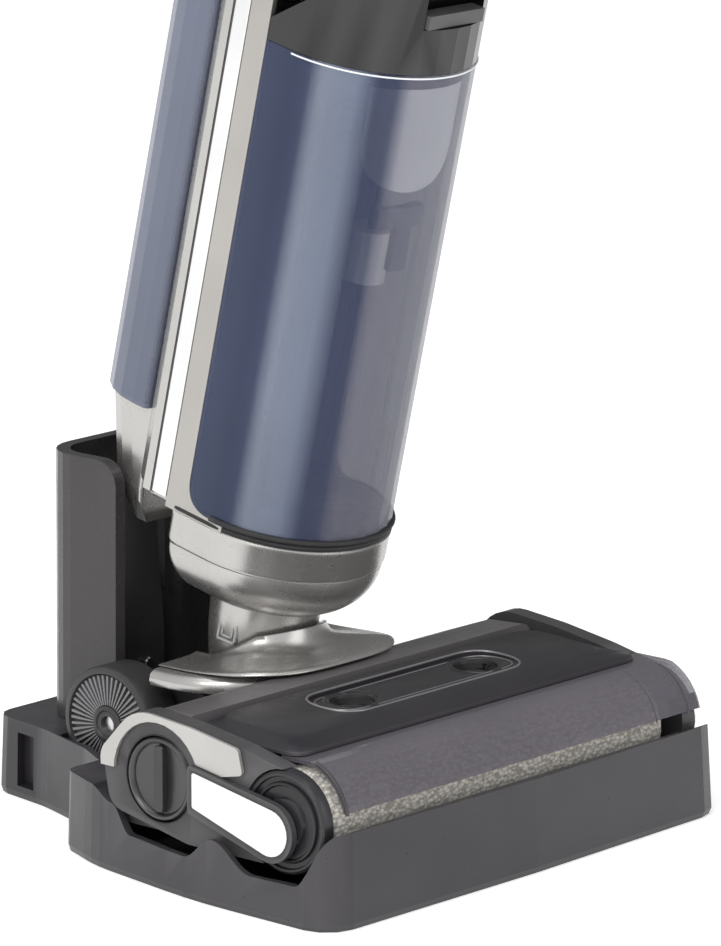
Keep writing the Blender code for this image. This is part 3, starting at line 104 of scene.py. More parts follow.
# ---------------------------------------------------------------- node graphs
class Graph:
    """A Principled material with short calls for the nodes that feed it."""

    def __init__(self, name, **sockets):
        self.material = bpy.data.materials.new(name)
        self.material.use_nodes = True
        self.tree = self.material.node_tree
        self.shader = self.tree.nodes["Principled BSDF"]
        self.coords = None
        for label, value in sockets.items():
            self.set(label.replace("_", " "), value)

    def set(self, label, value):
        """Constant or link on one of the shader's sockets."""
        socket = self.shader.inputs[label]
        if isinstance(value, bpy.types.NodeSocket):
            self.tree.links.new(value, socket)
        elif isinstance(value, tuple) and len(value) == 3:
            socket.default_value = (*value, 1.0)
        else:
            socket.default_value = value

    def add(self, kind, out=0, settings=None, **inputs):
        """A node with its inputs, by name or as i0, i1, ..., set or linked; returns one of its outputs."""
        node = self.tree.nodes.new(kind)
        for key, value in (settings or {}).items():
            setattr(node, key, value)
        for key, value in inputs.items():
            by_number = key[0] == "i" and key[1:].isdigit()
            socket = node.inputs[int(key[1:]) if by_number else key]
            if isinstance(value, bpy.types.NodeSocket):
                self.tree.links.new(value, socket)
            elif isinstance(value, tuple) and len(value) == 3 and socket.type == "RGBA":
                socket.default_value = (*value, 1.0)
            else:
                socket.default_value = value
        return node.outputs[out]

    def place(self, scale=(1.0, 1.0, 1.0), turn=(0.0, 0.0, 0.0)):
        """Object coordinates in metres, stretched and turned."""
        if self.coords is None:
            self.coords = self.tree.nodes.new("ShaderNodeTexCoord").outputs["Object"]
        return self.add("ShaderNodeMapping", Vector=self.coords, Rotation=turn, Scale=scale)

    def noise(self, scale, detail=3.0, rough=0.5, vector=None, distort=0.0):
        """Cloudy value from 0 to 1."""
        return self.add("ShaderNodeTexNoise", Vector=vector or self.place(), Scale=scale, Detail=detail,
                        Roughness=rough, Distortion=distort)

    def cells(self, scale, vector=None):
        """Distance to the middle of the nearest cell."""
        return self.add("ShaderNodeTexVoronoi", Vector=vector or self.place(), Scale=scale)

    def ramp(self, factor, stops):
        """Colour ramp of (position, colour or grey) stops."""
        node = self.tree.nodes.new("ShaderNodeValToRGB")
        while len(node.color_ramp.elements) < len(stops):
            node.color_ramp.elements.new(0.5)
        for element, (position, colour) in zip(node.color_ramp.elements, stops):
            element.position = position
            if not isinstance(colour, tuple):
                colour = (colour, colour, colour)
            element.color = (*colour, 1.0)
        self.tree.links.new(factor, node.inputs["Fac"])
        return node.outputs["Color"]

    def span(self, value, low, high, out_low, out_high):
        """Maps a value from one span to another and clamps it."""
        return self.add("ShaderNodeMapRange", Value=value, i1=low, i2=high, i3=out_low, i4=out_high)

    def mix(self, factor, first, second, blend="MIX"):
        """Two colours blended by a factor."""
        node = self.tree.nodes.new("ShaderNodeMix")
        node.data_type = "RGBA"
        node.blend_type = blend
        for index, value in ((0, factor), (6, first), (7, second)):
            socket = node.inputs[index]
            if isinstance(value, bpy.types.NodeSocket):
                self.tree.links.new(value, socket)
            elif isinstance(value, tuple):
                socket.default_value = (*value, 1.0)
            else:
                socket.default_value = value
        return node.outputs[2]

    def math(self, operation, first, second):
        """One step of arithmetic on two values."""
        return self.add("ShaderNodeMath", settings={"operation": operation}, i0=first, i1=second)

    def bump(self, height, strength, distance):
        """Normal of a surface raised by height, up to distance in metres."""
        node = self.tree.nodes.new("ShaderNodeBump")
        node.inputs["Strength"].default_value = strength
        node.inputs["Distance"].default_value = distance
        self.tree.links.new(height, node.inputs["Height"])
        return node.outputs["Normal"]

    def facing(self, blend):
        """0 where the surface faces the viewer, towards 1 at its outline."""
        return self.add("ShaderNodeLayerWeight", out=1, Blend=blend)

    def edge_lightening(self, low, high):
        """Share of lightening from the curvature of the surface, highest on convex edges."""
        pointed = self.add("ShaderNodeNewGeometry", out=7)
        return self.span(pointed, low, high, 0.0, 1.0)


def scaled(colour, share, plus=0.0):
    """Colour made lighter or darker, no brighter than white."""
    return tuple(min(1.0, c * share + plus) for c in colour)


def moulded(name, colour, rough, grain, depth, coat=0.0):
    """Moulded plastic: fine spark grain, faint mottling, lighter convex edges and smudged gloss."""
    g = Graph(name, IOR=1.5, Specular_IOR_Level=0.38)
    patch = g.noise(22.0, 4.0, 0.55)
    speck = g.noise(grain * 1.7, 2.0, 0.6)
    base = g.ramp(patch, [(0.30, scaled(colour, 0.86)), (0.70, scaled(colour, 1.14, 0.003))])
    base = g.mix(g.span(speck, 0.35, 0.70, 0.0, 0.30), base, scaled(colour, 1.5, 0.008))
    # Lighter on convex edges, from the surface's curvature.
    base = g.mix(g.edge_lightening(0.53, 0.60), base, scaled(colour, 1.7, 0.03))
    g.set("Base Color", base)
    smudge = g.noise(60.0, 5.0, 0.65, distort=0.4)
    g.set("Roughness", g.span(smudge, 0.30, 0.72, rough * 0.82, min(1.0, rough * 1.22)))
    grain_height = g.noise(grain, 2.0, 0.5)
    g.set("Normal", g.bump(grain_height, 0.55, depth))
    if coat:
        g.set("Coat Weight", coat)
        g.set("Coat Roughness", 0.06)
    return g.material


def metallic(name, colour, rough, metal, drawn=None):
    """Metallic paint or metal: flakes in the tone and faint waviness or, if drawn, long fine lines."""
    g = Graph(name, Metallic=metal, IOR=1.5)
    flakes = g.cells(3200.0)
    cloud = g.noise(14.0, 3.0, 0.5)
    base = g.ramp(cloud, [(0.3, scaled(colour, 0.93)), (0.7, scaled(colour, 1.05))])
    base = g.mix(g.span(flakes, 0.15, 0.75, 0.08, 0.0), base, scaled(colour, 1.28))
    g.set("Base Color", base)
    haze = g.noise(48.0, 4.0, 0.6)
    g.set("Roughness", g.span(haze, 0.3, 0.7, rough * 0.94, rough * 1.08))
    if drawn:
        lines = g.noise(1.0, 3.0, 0.6, vector=g.place(drawn))
        g.set("Normal", g.bump(lines, 0.25, 0.00005))
    else:
        g.set("Normal", g.bump(g.noise(6.0, 1.0, 0.5), 0.03, 0.0006))
    return g.material


def clear(name, colour, alpha_face, alpha_edge, painted_reflections=None):
    """Smoked clear plastic, denser towards its outline, with fine wipe marks and, if given, painted
    reflection bands.

    The reflection stops are a list of (angle round the tank's axis in degrees, colour, opacity): painted
    light and dark reflection bands that tint the plastic and set how see-through it is.
    """
    g = Graph(name, IOR=1.46)
    tone = g.noise(9.0, 3.0, 0.5)
    base = g.ramp(tone, [(0.3, scaled(colour, 0.90)), (0.7, scaled(colour, 1.08))])
    alpha = g.span(g.facing(0.35), 0.0, 0.85, alpha_face, alpha_edge)
    # Painted reflections: light and dark bands by angle round the tank's axis, in the colour and in the
    # opacity.
    if painted_reflections:
        local = g.add("ShaderNodeMapping", settings={"vector_type": "TEXTURE"}, Vector=g.place(),
                      Location=tuple(HINGE), Rotation=(LEAN, 0.0, 0.0))
        split = g.tree.nodes.new("ShaderNodeSeparateXYZ")
        g.tree.links.new(local, split.inputs["Vector"])
        ahead = g.math("MULTIPLY", split.outputs["Y"], -1.0)
        angle = g.math("ARCTAN2", split.outputs["X"], ahead)
        share = g.span(angle, -math.pi, math.pi, 0.0, 1.0)
        reflection_tint = g.ramp(share, [(turn / 360 + 0.5, colour) for turn, colour, opacity in painted_reflections])
        base = g.mix(1.0, base, reflection_tint, "MULTIPLY")
        reflection_opacity = g.ramp(share, [(turn / 360 + 0.5, opacity) for turn, colour, opacity in painted_reflections])
        alpha = g.math("MULTIPLY", alpha, reflection_opacity)
    g.set("Base Color", base)
    g.set("Alpha", alpha)
    marks = g.noise(1.0, 4.0, 0.6, vector=g.place((40.0, 40.0, 260.0)))
    g.set("Roughness", g.span(marks, 0.35, 0.75, 0.05, 0.11))
    g.set("Normal", g.bump(g.noise(14.0, 1.0, 0.5), 0.04, 0.0004))
    return g.material


def pile():
    """Microfibre pile: pale tufts with painted shade darkening towards where they meet, lighter strands and
    soft sheen.
    """
    g = Graph("pile", Roughness=0.95, IOR=1.4)
    tuft_shade = g.cells(620.0, vector=g.place((0.55, 1.0, 1.0)))
    strand = g.noise(2400.0, 3.0, 0.6)
    # Painted shade: pale in each tuft's middle, beige and then dark grey towards its edges where tufts meet.
    base = g.ramp(tuft_shade, [(0.10, (0.88, 0.85, 0.79)), (0.40, (0.62, 0.58, 0.52)), (0.66, (0.22, 0.20, 0.17))])
    base = g.mix(g.span(strand, 0.40, 0.72, 0.0, 0.75), base, (0.92, 0.90, 0.86))
    g.set("Base Color", base)
    g.set("Sheen Weight", 0.35)
    g.set("Normal", g.bump(strand, 0.9, 0.0004))
    return g.material


# Painted reflections on the waste tank: light and dark bands as (angle in degrees, tint, opacity) stops.
TANK_PAINTED_REFLECTIONS = [
    (-170.0, (0.33, 0.33, 0.33), 0.95),
    (-88.0, (0.10, 0.12, 0.15), 1.0),
    (-78.0, (0.12, 0.14, 0.18), 1.0),
    (-70.0, (1.0, 0.90, 0.64), 0.82),
    (-52.0, (0.86, 0.80, 0.62), 0.82),
    (-41.0, (0.13, 0.14, 0.18), 1.0),
    (-31.0, (0.13, 0.14, 0.18), 0.95),
    (-22.0, (0.75, 0.60, 0.44), 0.52),
    (18.0, (0.80, 0.66, 0.46), 0.46),
    (45.0, (1.0, 0.8, 0.6), 0.75),
    (90.0, (0.33, 0.33, 0.33), 1.0),
]

LOOKS = {
    "dock": moulded("dock_plastic", (0.020, 0.018, 0.021), 0.32, 1500.0, 0.00005),
    "column": moulded("column_plastic", (0.011, 0.009, 0.010), 0.28, 1500.0, 0.00004),
    "head": moulded("head_plastic", (0.034, 0.032, 0.034), 0.42, 1900.0, 0.00008),
    "deck": moulded("deck_plastic", (0.026, 0.024, 0.026), 0.32, 1700.0, 0.00003),
    "gloss": moulded("gloss_plastic", (0.004, 0.004, 0.005), 0.12, 1300.0, 0.00001, coat=0.15),
    "black": moulded("black_plastic", (0.010, 0.010, 0.011), 0.32, 1300.0, 0.00003),
    "silver": metallic("silver_paint", (0.50, 0.49, 0.475), 0.27, 0.82),
    "bright": metallic("bright_silver", (0.78, 0.78, 0.78), 0.22, 0.80),
    "steel": metallic("turned_steel", (0.62, 0.62, 0.63), 0.26, 1.0, drawn=(40.0, 2600.0, 2600.0)),
    # waste tank plastic with painted reflection bands round its axis
    "tank": clear("smoke_clear", (0.26, 0.33, 0.60), 0.60, 1.0, TANK_PAINTED_REFLECTIONS),
    "rear_tank": clear("rear_clear", (0.17, 0.19, 0.26), 0.60, 0.97),
    "window": clear("window_clear", (0.150, 0.138, 0.160), 0.46, 0.94),
    "rubber": moulded("rubber", (0.007, 0.007, 0.008), 0.60, 1200.0, 0.00006),
    "foam": moulded("float_foam", (0.70, 0.68, 0.62), 0.85, 700.0, 0.00020),
    "filter": moulded("filter_paper", (0.74, 0.72, 0.66), 0.95, 1500.0, 0.00010),
    "pile": pile(),
    "wrap": moulded("battery_wrap", (0.05, 0.16, 0.32), 0.42, 900.0, 0.00002),
    "mark": moulded("mark_line", (0.22, 0.22, 0.22), 0.35, 1500.0, 0.00002),
    # painted shade: dark colour for the spine's groove strip
    "groove_shade": moulded("groove_painted_shade", (0.030, 0.028, 0.030), 0.45, 1500.0, 0.00002),
    "band": metallic("side_band", (0.44, 0.425, 0.40), 0.34, 0.80),
    "plate": metallic("plate_silver", (0.50, 0.49, 0.47), 0.36, 0.60),
    "cup": clear("cup_clear", (0.92, 0.94, 0.98), 0.90, 1.0),
    "tongue": moulded("tongue_pale", (0.88, 0.90, 0.94), 0.25, 1300.0, 0.00002),
    "navy": moulded("navy_plastic", (0.020, 0.026, 0.055), 0.25, 1300.0, 0.00002),
    "rim": moulded("rim_clear", (0.62, 0.64, 0.68), 0.16, 1300.0, 0.00001),
    "hub": moulded("hub_plastic", (0.013, 0.012, 0.014), 0.30, 1500.0, 0.00003),
    "knob": metallic("knob_metal", (0.085, 0.083, 0.085), 0.30, 0.75, drawn=(40.0, 1800.0, 60.0)),
    "knob_bar": metallic("knob_bar_metal", (0.060, 0.058, 0.060), 0.34, 0.6),
    "wheel": moulded("wheel_tread", (0.030, 0.029, 0.031), 0.40, 1900.0, 0.00005),
    "ribs": moulded("wheel_ribs", (0.10, 0.098, 0.102), 0.34, 1900.0, 0.00003),
    "cover": moulded("cover_plastic", (0.024, 0.022, 0.025), 0.33, 1700.0, 0.00003),
    "pit": moulded("well_pit", (0.0015, 0.0015, 0.0018), 0.12, 1300.0, 0.00001),
    "panel": moulded("deck_panel", (0.070, 0.066, 0.069), 0.34, 1900.0, 0.00005),
    "bead": metallic("bead_line", (0.30, 0.29, 0.30), 0.25, 0.6),
}

USES = {
    "dock": "dock_tray",
    "column": "dock_column",
    "head": "head_chassis side_panel_left side_panel_right roller_lock_knob roller_core roller_arm "
            "tank_riser tank_release power_button mode_button filler_cap",
    "panel": "head_deck",
    "deck": "roller_cover motor_housing bay_cover wheel_left wheel_right",
    "gloss": "display_lens tank_lid clean_tank_top drive_end_cap",
    "black": "dock_guide power_inlet roller_end_cap drive_dog grip",
    "silver": "neck neck_boot tank_bowl spine_frame spine_foot handle_tube",
    "bright": "arm_inlay side_rail_left side_rail_right",
    "plate": "side_plate",
    "steel": "charge_pin_left charge_pin_right hinge_pin wheel_axle_left wheel_axle_right brush_motor "
             "motor_pinion suction_motor",
    "tank": "waste_tank",
    "rear_tank": "clean_tank",
    "window": "roller_window",
    "rubber": "dock_foot_1 dock_foot_2 dock_foot_3 dock_foot_4 bowl_gasket scraper drive_belt",
    "foam": "tank_float",
    "filter": "tank_filter",
    "pile": "roller_sleeve",
    "wrap": "battery_pack",
}
for look, names in USES.items():
    for name in names.split():
        slots = NODES[name].data.materials
        slots.clear()
        slots.append(LOOKS[look])


EDGE_WIDTHS = (
    (0.0014, "dock_tray dock_column"),
    (0.0007, "side_panel_left side_panel_right head_deck motor_housing tank_lid drive_end_cap"),
    (0.0004, "side_plate roller_arm arm_inlay side_rail_left side_rail_right spine_foot dock_guide "
             "clean_tank_top filler_cap bay_cover"),
)


def round_edges():
    """Rounded edges on the plain moulded shells, so that they catch the light."""
    for width, names in EDGE_WIDTHS:
        for name in names.split():
            bevel = NODES[name].modifiers.new("edge", "BEVEL")
            bevel.width = width
            bevel.segments = 3
            bevel.limit_method = "ANGLE"
            bevel.angle_limit = math.radians(35.0)
            bevel.use_clamp_overlap = True


round_edges()


# ---------------------------------------------------------------- mesh helpers
def new_piece(name, bm, look, body, replaced=(), place=None, smooth_angle=40.0):
    """Turn a bmesh into a piece that rides on a body and stands for the nodes it replaces."""
    bmesh.ops.recalc_face_normals(bm, faces=bm.faces)
    mesh = bpy.data.meshes.new(name)
    bm.to_mesh(mesh)
    bm.free()
    if place is not None:
        mesh.transform(place)
    piece = bpy.data.objects.new(name, mesh)
    bpy.context.scene.collection.objects.link(piece)
    mesh.materials.append(LOOKS[look])
    mesh.shade_smooth()
    mesh.set_sharp_from_angle(angle=math.radians(smooth_angle))
    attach(piece, body)
    if replaced:
        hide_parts(*replaced)
    return piece


def skin(bm, rings, around=True, along=False):
    """Skin rows of points; around closes each row, along joins the last row to the first.

    Rows that close but don't join get a flat face at each end.
    """
    rows = [[bm.verts.new(point) for point in ring] for ring in rings]
    count = len(rows[0])
    pairs = list(zip(rows, rows[1:]))
    if along:
        pairs.append((rows[-1], rows[0]))
    for low_row, high_row in pairs:
        for i in range(count if around else count - 1):
            j = (i + 1) % count
            bm.faces.new((low_row[i], low_row[j], high_row[j], high_row[i]))
    if around and not along:
        bm.faces.new(list(reversed(rows[0])))
        bm.faces.new(rows[-1])


def lathe(bm, profile, centre, axis="X", sides=96, closed=False):
    """Turn (radius, along) points about the X or Z axis through centre."""
    rings = []
    for radius, along in profile:
        ring = []
        for i in range(sides):
            turn = 2 * math.pi * i / sides
            a, b = radius * math.cos(turn), radius * math.sin(turn)
            point = (along, a, b) if axis == "X" else (a, b, along)
            ring.append(Vector(centre) + Vector(point))
        rings.append(ring)
    skin(bm, rings, along=closed)


def slab(bm, outline, low, high, axis="X", edge=0.0):
    """Flat piece along X or Z from an outline of (a, b) points, with a chamfer at high if edge is set."""
    def lift(points, along):
        """Outline set at a distance along the axis."""
        return [(along, a, b) if axis == "X" else (a, b, along) for a, b in points]

    if not edge:
        skin(bm, [lift(outline, low), lift(outline, high)])
        return
    middle = np.mean(np.array(outline), axis=0)
    inner = []
    for point in outline:
        out = np.array(point) - middle
        inner.append(tuple(np.array(point) - out / max(1e-6, np.linalg.norm(out)) * edge))
    skin(bm, [lift(outline, low), lift(outline, high - math.copysign(edge, high - low)), lift(inner, high)])


def rounded(corners, steps=6):
    """Points round a polygon of (a, b, radius) corners."""
    points = []
    for i, (a, b, radius) in enumerate(corners):
        corner = Vector((a, b))
        back = (Vector(corners[i - 1][:2]) - corner).normalized()
        ahead = (Vector(corners[(i + 1) % len(corners)][:2]) - corner).normalized()
        if radius <= 0.0:
            points.append((a, b))
            continue
        half = math.acos(max(-1.0, min(1.0, back.dot(ahead)))) / 2
        reach = radius / math.tan(half)
        start, stop = corner + back * reach, corner + ahead * reach
        for step in range(steps + 1):
            share = step / steps
            point = start * (1 - share) ** 2 + corner * 2 * share * (1 - share) + stop * share ** 2
            points.append((point.x, point.y))
    return points


def box_between(bm, corner_low, corner_high):
    """Box between two corners."""
    x0, y0, z0 = corner_low
    x1, y1, z1 = corner_high
    slab(bm, [(x0, y0), (x1, y0), (x1, y1), (x0, y1)], z0, z1, "Z")


def hose(bm, points, radius, sides=8, closed=True):
    """Round bead along points, which run in a loop if closed."""
    rings = []
    count = len(points)
    for i, point in enumerate(points):
        before = Vector(points[i - 1] if closed or i else points[i])
        after = Vector(points[(i + 1) % count] if closed or i < count - 1 else points[i])
        along = (after - before).normalized()
        side = along.cross(Vector((0, 0, 1)))
        if side.length < 0.1:
            side = along.cross(Vector((0, 1, 0)))
        side.normalize()
        up = side.cross(along).normalized()
        rings.append([Vector(point) + radius * (math.cos(t) * side + math.sin(t) * up)
                      for t in (2 * math.pi * k / sides for k in range(sides))])
    skin(bm, rings, along=closed)


def carve(piece, cutter_bm):
    """Cut a closed shape from a piece and keep only the result."""
    bmesh.ops.recalc_face_normals(cutter_bm, faces=cutter_bm.faces)
    mesh = bpy.data.meshes.new("cutter")
    cutter_bm.to_mesh(mesh)
    cutter_bm.free()
    cutter = bpy.data.objects.new("cutter", mesh)
    bpy.context.scene.collection.objects.link(cutter)
    step = piece.modifiers.new("carve", "BOOLEAN")
    step.operation = "DIFFERENCE"
    step.solver = "EXACT"
    step.object = cutter
    bpy.context.view_layer.update()
    evaluated = piece.evaluated_get(bpy.context.evaluated_depsgraph_get())
    result = bpy.data.meshes.new_from_object(evaluated)
    piece.modifiers.clear()
    piece.data = result
    bpy.data.objects.remove(cutter)
    result.shade_smooth()
    result.set_sharp_from_angle(angle=math.radians(35.0))


# ---------------------------------------------------------------- upright body
def tank_ring(radius, back, w, steps=48, corner=0.006):
    """Round-fronted section with a flat back, at height w."""
    ring = []
    for i in range(steps + 1):
        turn = math.pi + math.pi * i / steps
        ring.append((radius * math.cos(turn), radius * math.sin(turn), w))
    tail = rounded([(radius, back, corner), (-radius, back, corner), (-radius, 0.0, 0.0), (radius, 0.0, 0.0)])
    return ring + [(x, u, w) for x, u in tail if u > 0.0001]


def make_bowl():
    """Silver cup under the waste tank: dome, fine seam, slightly proud band and a rolled upper edge."""
    dome_steps = 18
    bm = bmesh.new()
    rings = []
    for step in range(dome_steps + 1):
        share = step / dome_steps
        size = 0.44 + 0.545 * math.sqrt(max(0.0, 1.0 - (1.0 - share) ** 2))
        rings.append(tank_ring(TANK_RADIUS * size, max(0.0222, BOWL_BACK * size),
                               BOWL_FOOT + (BAND_FOOT - 0.0006 - BOWL_FOOT) * share))
    for radius, w in ((TANK_RADIUS * 0.972, BAND_FOOT - 0.0004), (TANK_RADIUS * 0.972, BAND_FOOT + 0.0004),
                      (TANK_RADIUS * 0.994, BAND_FOOT + 0.0008), (TANK_RADIUS + 0.0001, BAND_FOOT + 0.0022),
                      (TANK_RADIUS + 0.0003, BOWL_TOP - 0.0028), (TANK_RADIUS + 0.0007, BOWL_TOP - 0.0020),
                      (TANK_RADIUS + 0.0007, BOWL_TOP - 0.0006), (TANK_RADIUS + 0.0001, BOWL_TOP),
                      (TANK_RADIUS - 0.0026, BOWL_TOP), (TANK_RADIUS - 0.0026, BAND_FOOT + 0.0080)):
        rings.append(tank_ring(radius, BOWL_BACK + min(0.0, radius - TANK_RADIUS), w))
    rings.append(tank_ring(TANK_RADIUS * 0.62, 0.0218, BOWL_FOOT + 0.0140))
    rings.append(tank_ring(TANK_RADIUS * 0.42, 0.0212, BOWL_FOOT + 0.0040))
    skin(bm, rings, along=True)
    new_piece("bowl_shell", bm, "silver", "upright", ["tank_bowl"], BODY, 30.0)


def make_gasket():
    """Black seal between bowl and tank, with a softly rounded edge."""
    bm = bmesh.new()
    rings = []
    for radius, w in ((TANK_RADIUS + 0.0002, TANK_FOOT - 0.0027), (TANK_RADIUS + 0.0008, TANK_FOOT - 0.0020),
                      (TANK_RADIUS + 0.0008, TANK_FOOT - 0.0010), (TANK_RADIUS + 0.0003, TANK_FOOT - 0.0003),
                      (TANK_RADIUS - 0.0050, TANK_FOOT - 0.0003), (TANK_RADIUS - 0.0050, TANK_FOOT - 0.0027)):
        rings.append(tank_ring(radius, BOWL_BACK + min(0.0, radius - TANK_RADIUS), w))
    skin(bm, rings, along=True)
    new_piece("bowl_seal", bm, "rubber", "upright", ["bowl_gasket"], BODY, 50.0)


def make_neck():
    """Smooth tapered neck with its hinge barrel and a plain embossed frame."""
    bm = bmesh.new()
    lathe(bm, [(0.0150, 0.0010), (0.0190, 0.0040), (0.0212, 0.0120), (0.0228, 0.0200), (0.0244, 0.0290),
               (0.0258, 0.0380), (0.0266, 0.0480), (0.0266, 0.0600), (0.0200, 0.0606), (0.0125, 0.0606),
               (0.0125, 0.0020)], (0, 0, 0), "Z", 96, True)
    lathe(bm, [(0.0148, -0.0238), (0.0150, -0.0230), (0.0150, 0.0230), (0.0148, 0.0238), (0.0043, 0.0238),
               (0.0043, -0.0238)], (0, 0, 0), "X", 64, True)
    new_piece("neck_shell", bm, "silver", "upright", ["neck"], BODY, 35.0)
    bm = bmesh.new()
    for half, thick in ((0.0052, 0.00055), (0.0031, 0.00045)):
        for side in range(4):
            box = bmesh.new()
            box_between(box, (-half - thick, -half - thick, -0.0009), (half + thick, -half + thick, 0.0006))
            box.transform(Matrix.Rotation(side * math.pi / 2, 4, "Z"))
            scratch = bpy.data.meshes.new("scratch")
            box.to_mesh(scratch)
            box.free()
            bm.from_mesh(scratch)
            bpy.data.meshes.remove(scratch)
    lean_out = Matrix.Rotation(math.radians(9.0), 4, "Y")
    face_left = Matrix.Rotation(math.radians(-90.0), 4, "Y") @ Matrix.Rotation(math.radians(4.0), 4, "Z")
    place = BODY @ Matrix.Translation((-0.0258, -0.0010, 0.0425)) @ lean_out @ face_left
    new_piece("neck_frame_mark", bm, "mark", "upright", place=place)


def collar_point(turn, half, depth, z, power):
    """Point of the collar's plan: square-fronted oval ahead of the hinge, straight behind it."""
    across, ahead = math.cos(turn), math.sin(turn)
    x = half * math.copysign(abs(across) ** (2.0 / power), across)
    if z > SADDLE_FOOT:
        z = SADDLE_FOOT + (z - SADDLE_FOOT) * (0.30 + 0.70 * max(0.0, ahead))
    z -= 0.0040 * max(0.0, z - 0.0780) / 0.0060 * max(0.0, 1.0 - max(0.0, ahead) * 1.6)
    if ahead < 0.0:
        share = min(1.0, -ahead / math.sin(COLLAR_PAST))
        return (math.copysign(half, across), BOOT_MIDDLE + (BOOT_REAR - BOOT_MIDDLE) * share, z)
    return (x, BOOT_MIDDLE - depth * abs(ahead) ** (2.0 / power), z)


def collar(bm, profile):
    """Open-backed collar: a closed section of (half, depth, z, power) swept round the front of the neck."""
    steps = 72
    rings = []
    for i in range(steps + 1):
        turn = -COLLAR_PAST + (math.pi + 2 * COLLAR_PAST) * i / steps
        rings.append([collar_point(turn, *row) for row in profile])
    skin(bm, rings)


def make_boot():
    """Lower flange, flat skirt with a rounded edge, and a saddle that rises round the neck."""
    bm = bmesh.new()
    collar(bm, [(0.0630, 0.0500, 0.0707, 2.2), (0.0640, 0.0505, 0.0730, 2.2), (0.0632, 0.0500, 0.0762, 2.2),
                (0.0600, 0.0480, 0.0782, 2.3), (0.0500, 0.0440, 0.0796, 2.4), (0.0330, 0.0360, 0.0796, 2.2),
                (0.0310, 0.0350, 0.0770, 2.0), (0.0310, 0.0340, 0.0707, 2.0)])
    new_piece("neck_flange", bm, "silver", "head", [], None, 60.0)
    bm = bmesh.new()
    collar(bm, [(0.0540, 0.0555, 0.0804, 3.2), (0.0566, 0.0586, 0.0808, 3.2), (0.0574, 0.0594, 0.0816, 3.2),
                (0.0570, 0.0590, 0.0825, 3.2), (0.0556, 0.0574, 0.0831, 3.2), (0.0520, 0.0535, 0.0834, 3.0),
                (0.0465, 0.0475, 0.0837, 2.7), (0.0410, 0.0425, 0.0844, 2.4), (0.0368, 0.0392, 0.0860, 2.2),
                (0.0338, 0.0372, 0.0888, 2.1), (0.0322, 0.0362, 0.0922, 2.0), (0.0314, 0.0356, 0.0946, 2.0),
                (0.0304, 0.0348, 0.0948, 2.0), (0.0300, 0.0344, 0.0930, 2.0), (0.0300, 0.0330, 0.0804, 2.0)])
    new_piece("neck_saddle", bm, "silver", "head", ["neck_boot"], None, 60.0)


def make_spine():
    """Silver frame between the tanks, eased at its foot."""
    wide = SPINE_HALF + SPINE_LIP
    narrow = SPINE_HALF - 0.0060
    step = SPINE_FRONT + 0.0140
    outline = rounded([(-wide, SPINE_FRONT, 0.0), (-wide, step, 0.003),
                       (-SPINE_HALF, step + SPINE_LIP, 0.003), (-narrow, SPINE_BACK, 0.004),
                       (narrow, SPINE_BACK, 0.004), (SPINE_HALF, step + SPINE_LIP, 0.003),
                       (wide, step, 0.003), (wide, SPINE_FRONT, 0.0)])
    middle = (SPINE_FRONT + SPINE_BACK) / 2
    bm = bmesh.new()
    rings = []
    for w, share in ((0.0992, 0.90), (0.1000, 0.95), (0.1016, 0.985), (0.1040, 1.0), (SPINE_TOP, 1.0)):
        rings.append([(x * share, middle + (u - middle) * share, w) for x, u in outline])
    skin(bm, rings)
    new_piece("spine_shell", bm, "silver", "upright", ["spine_frame"], BODY, 35.0)


def make_spine_trim():
    """Fine strips along the left and right of the spine: a dark strip of painted shade for the groove, silver
    edge, warm grey band.
    """
    # The groove strip is a flat dark box, painted shade in place of a recess.
    strips = (("spine_groove_shade", "groove_shade", 0.0502, 0.0508, 0.0384, 0.0402),
              ("spine_edge", "silver", SPINE_HALF, 0.0512, 0.0404, 0.0450))
    foot, ledge = 0.1002, 0.1045
    outline = rounded([(0.0284, foot, 0.0), (0.0284, SPINE_TOP, 0.0), (0.0160, SPINE_TOP, 0.0),
                       (0.0160, ledge, 0.0150), (-0.0080, ledge, 0.0), (-0.0080, foot, 0.0)], 10)
    for side, word in ((-1, "left"), (1, "right")):
        for name, look, near, far, front, back in strips:
            bm = bmesh.new()
            low_x, high_x = sorted((side * near, side * far))
            box_between(bm, (low_x, front, TRIM_FOOT), (high_x, back, SPINE_TOP))
            new_piece(f"{name}_{word}", bm, look, "upright", place=BODY)
        bm = bmesh.new()
        slab(bm, outline, *sorted((side * 0.0496, side * 0.0524)), "X")
        new_piece(f"tank_side_band_{word}", bm, "band", "upright", place=BODY)


def make_housing():
    """Smooth motor housing with a sloping lower edge over the lid, a soft shoulder and a rear step."""
    def slope_height(u):
        """Lower edge, which falls from the front towards the step behind the lid."""
        return TANK_TOP + 0.0652 - (u + TANK_RADIUS) * HOUSING_SLOPE

    rear_foot = 0.3885
    levels = [(0.0, TANK_RADIUS, HOUSING_BACK), (0.4900, TANK_RADIUS, HOUSING_BACK), (0.5080, 0.0512, 0.0975),
              (0.5240, 0.0492, 0.0925), (0.5400, 0.0466, 0.0840), (0.5550, 0.0430, 0.0720),
              (0.5680, 0.0390, 0.0600), (0.5790, 0.0345, 0.0490), (0.5860, 0.0308, 0.0425),
              (0.5890, 0.0280, 0.0380), (0.5898, 0.0240, 0.0330)]
    bm = bmesh.new()
    rings = []
    for w, radius, back in levels:
        rings.append(tank_ring(radius, back, w, corner=min(0.024, back * 0.5)))
    rings[0] = [(x, u, max(slope_height(u), TANK_TOP + 0.0012) if u < 0.0275 else rear_foot)
                for x, u, w in rings[0]]
    skin(bm, rings)
    new_piece("housing_shell", bm, "deck", "upright", ["motor_housing"], BODY, 38.0)
    bm = bmesh.new()
    half, low, high, corner = 0.0255, 0.4010, 0.4790, 0.0060
    corners = ((-half, low), (half, low), (half, high), (-half, high))
    loop = rounded([(x, w, corner) for x, w in corners], 8)
    hose(bm, [(x, HOUSING_BACK + 0.0001, w) for x, w in loop], 0.0005, 6)
    new_piece("bay_seam", bm, "gloss", "upright", place=BODY, smooth_angle=60.0)


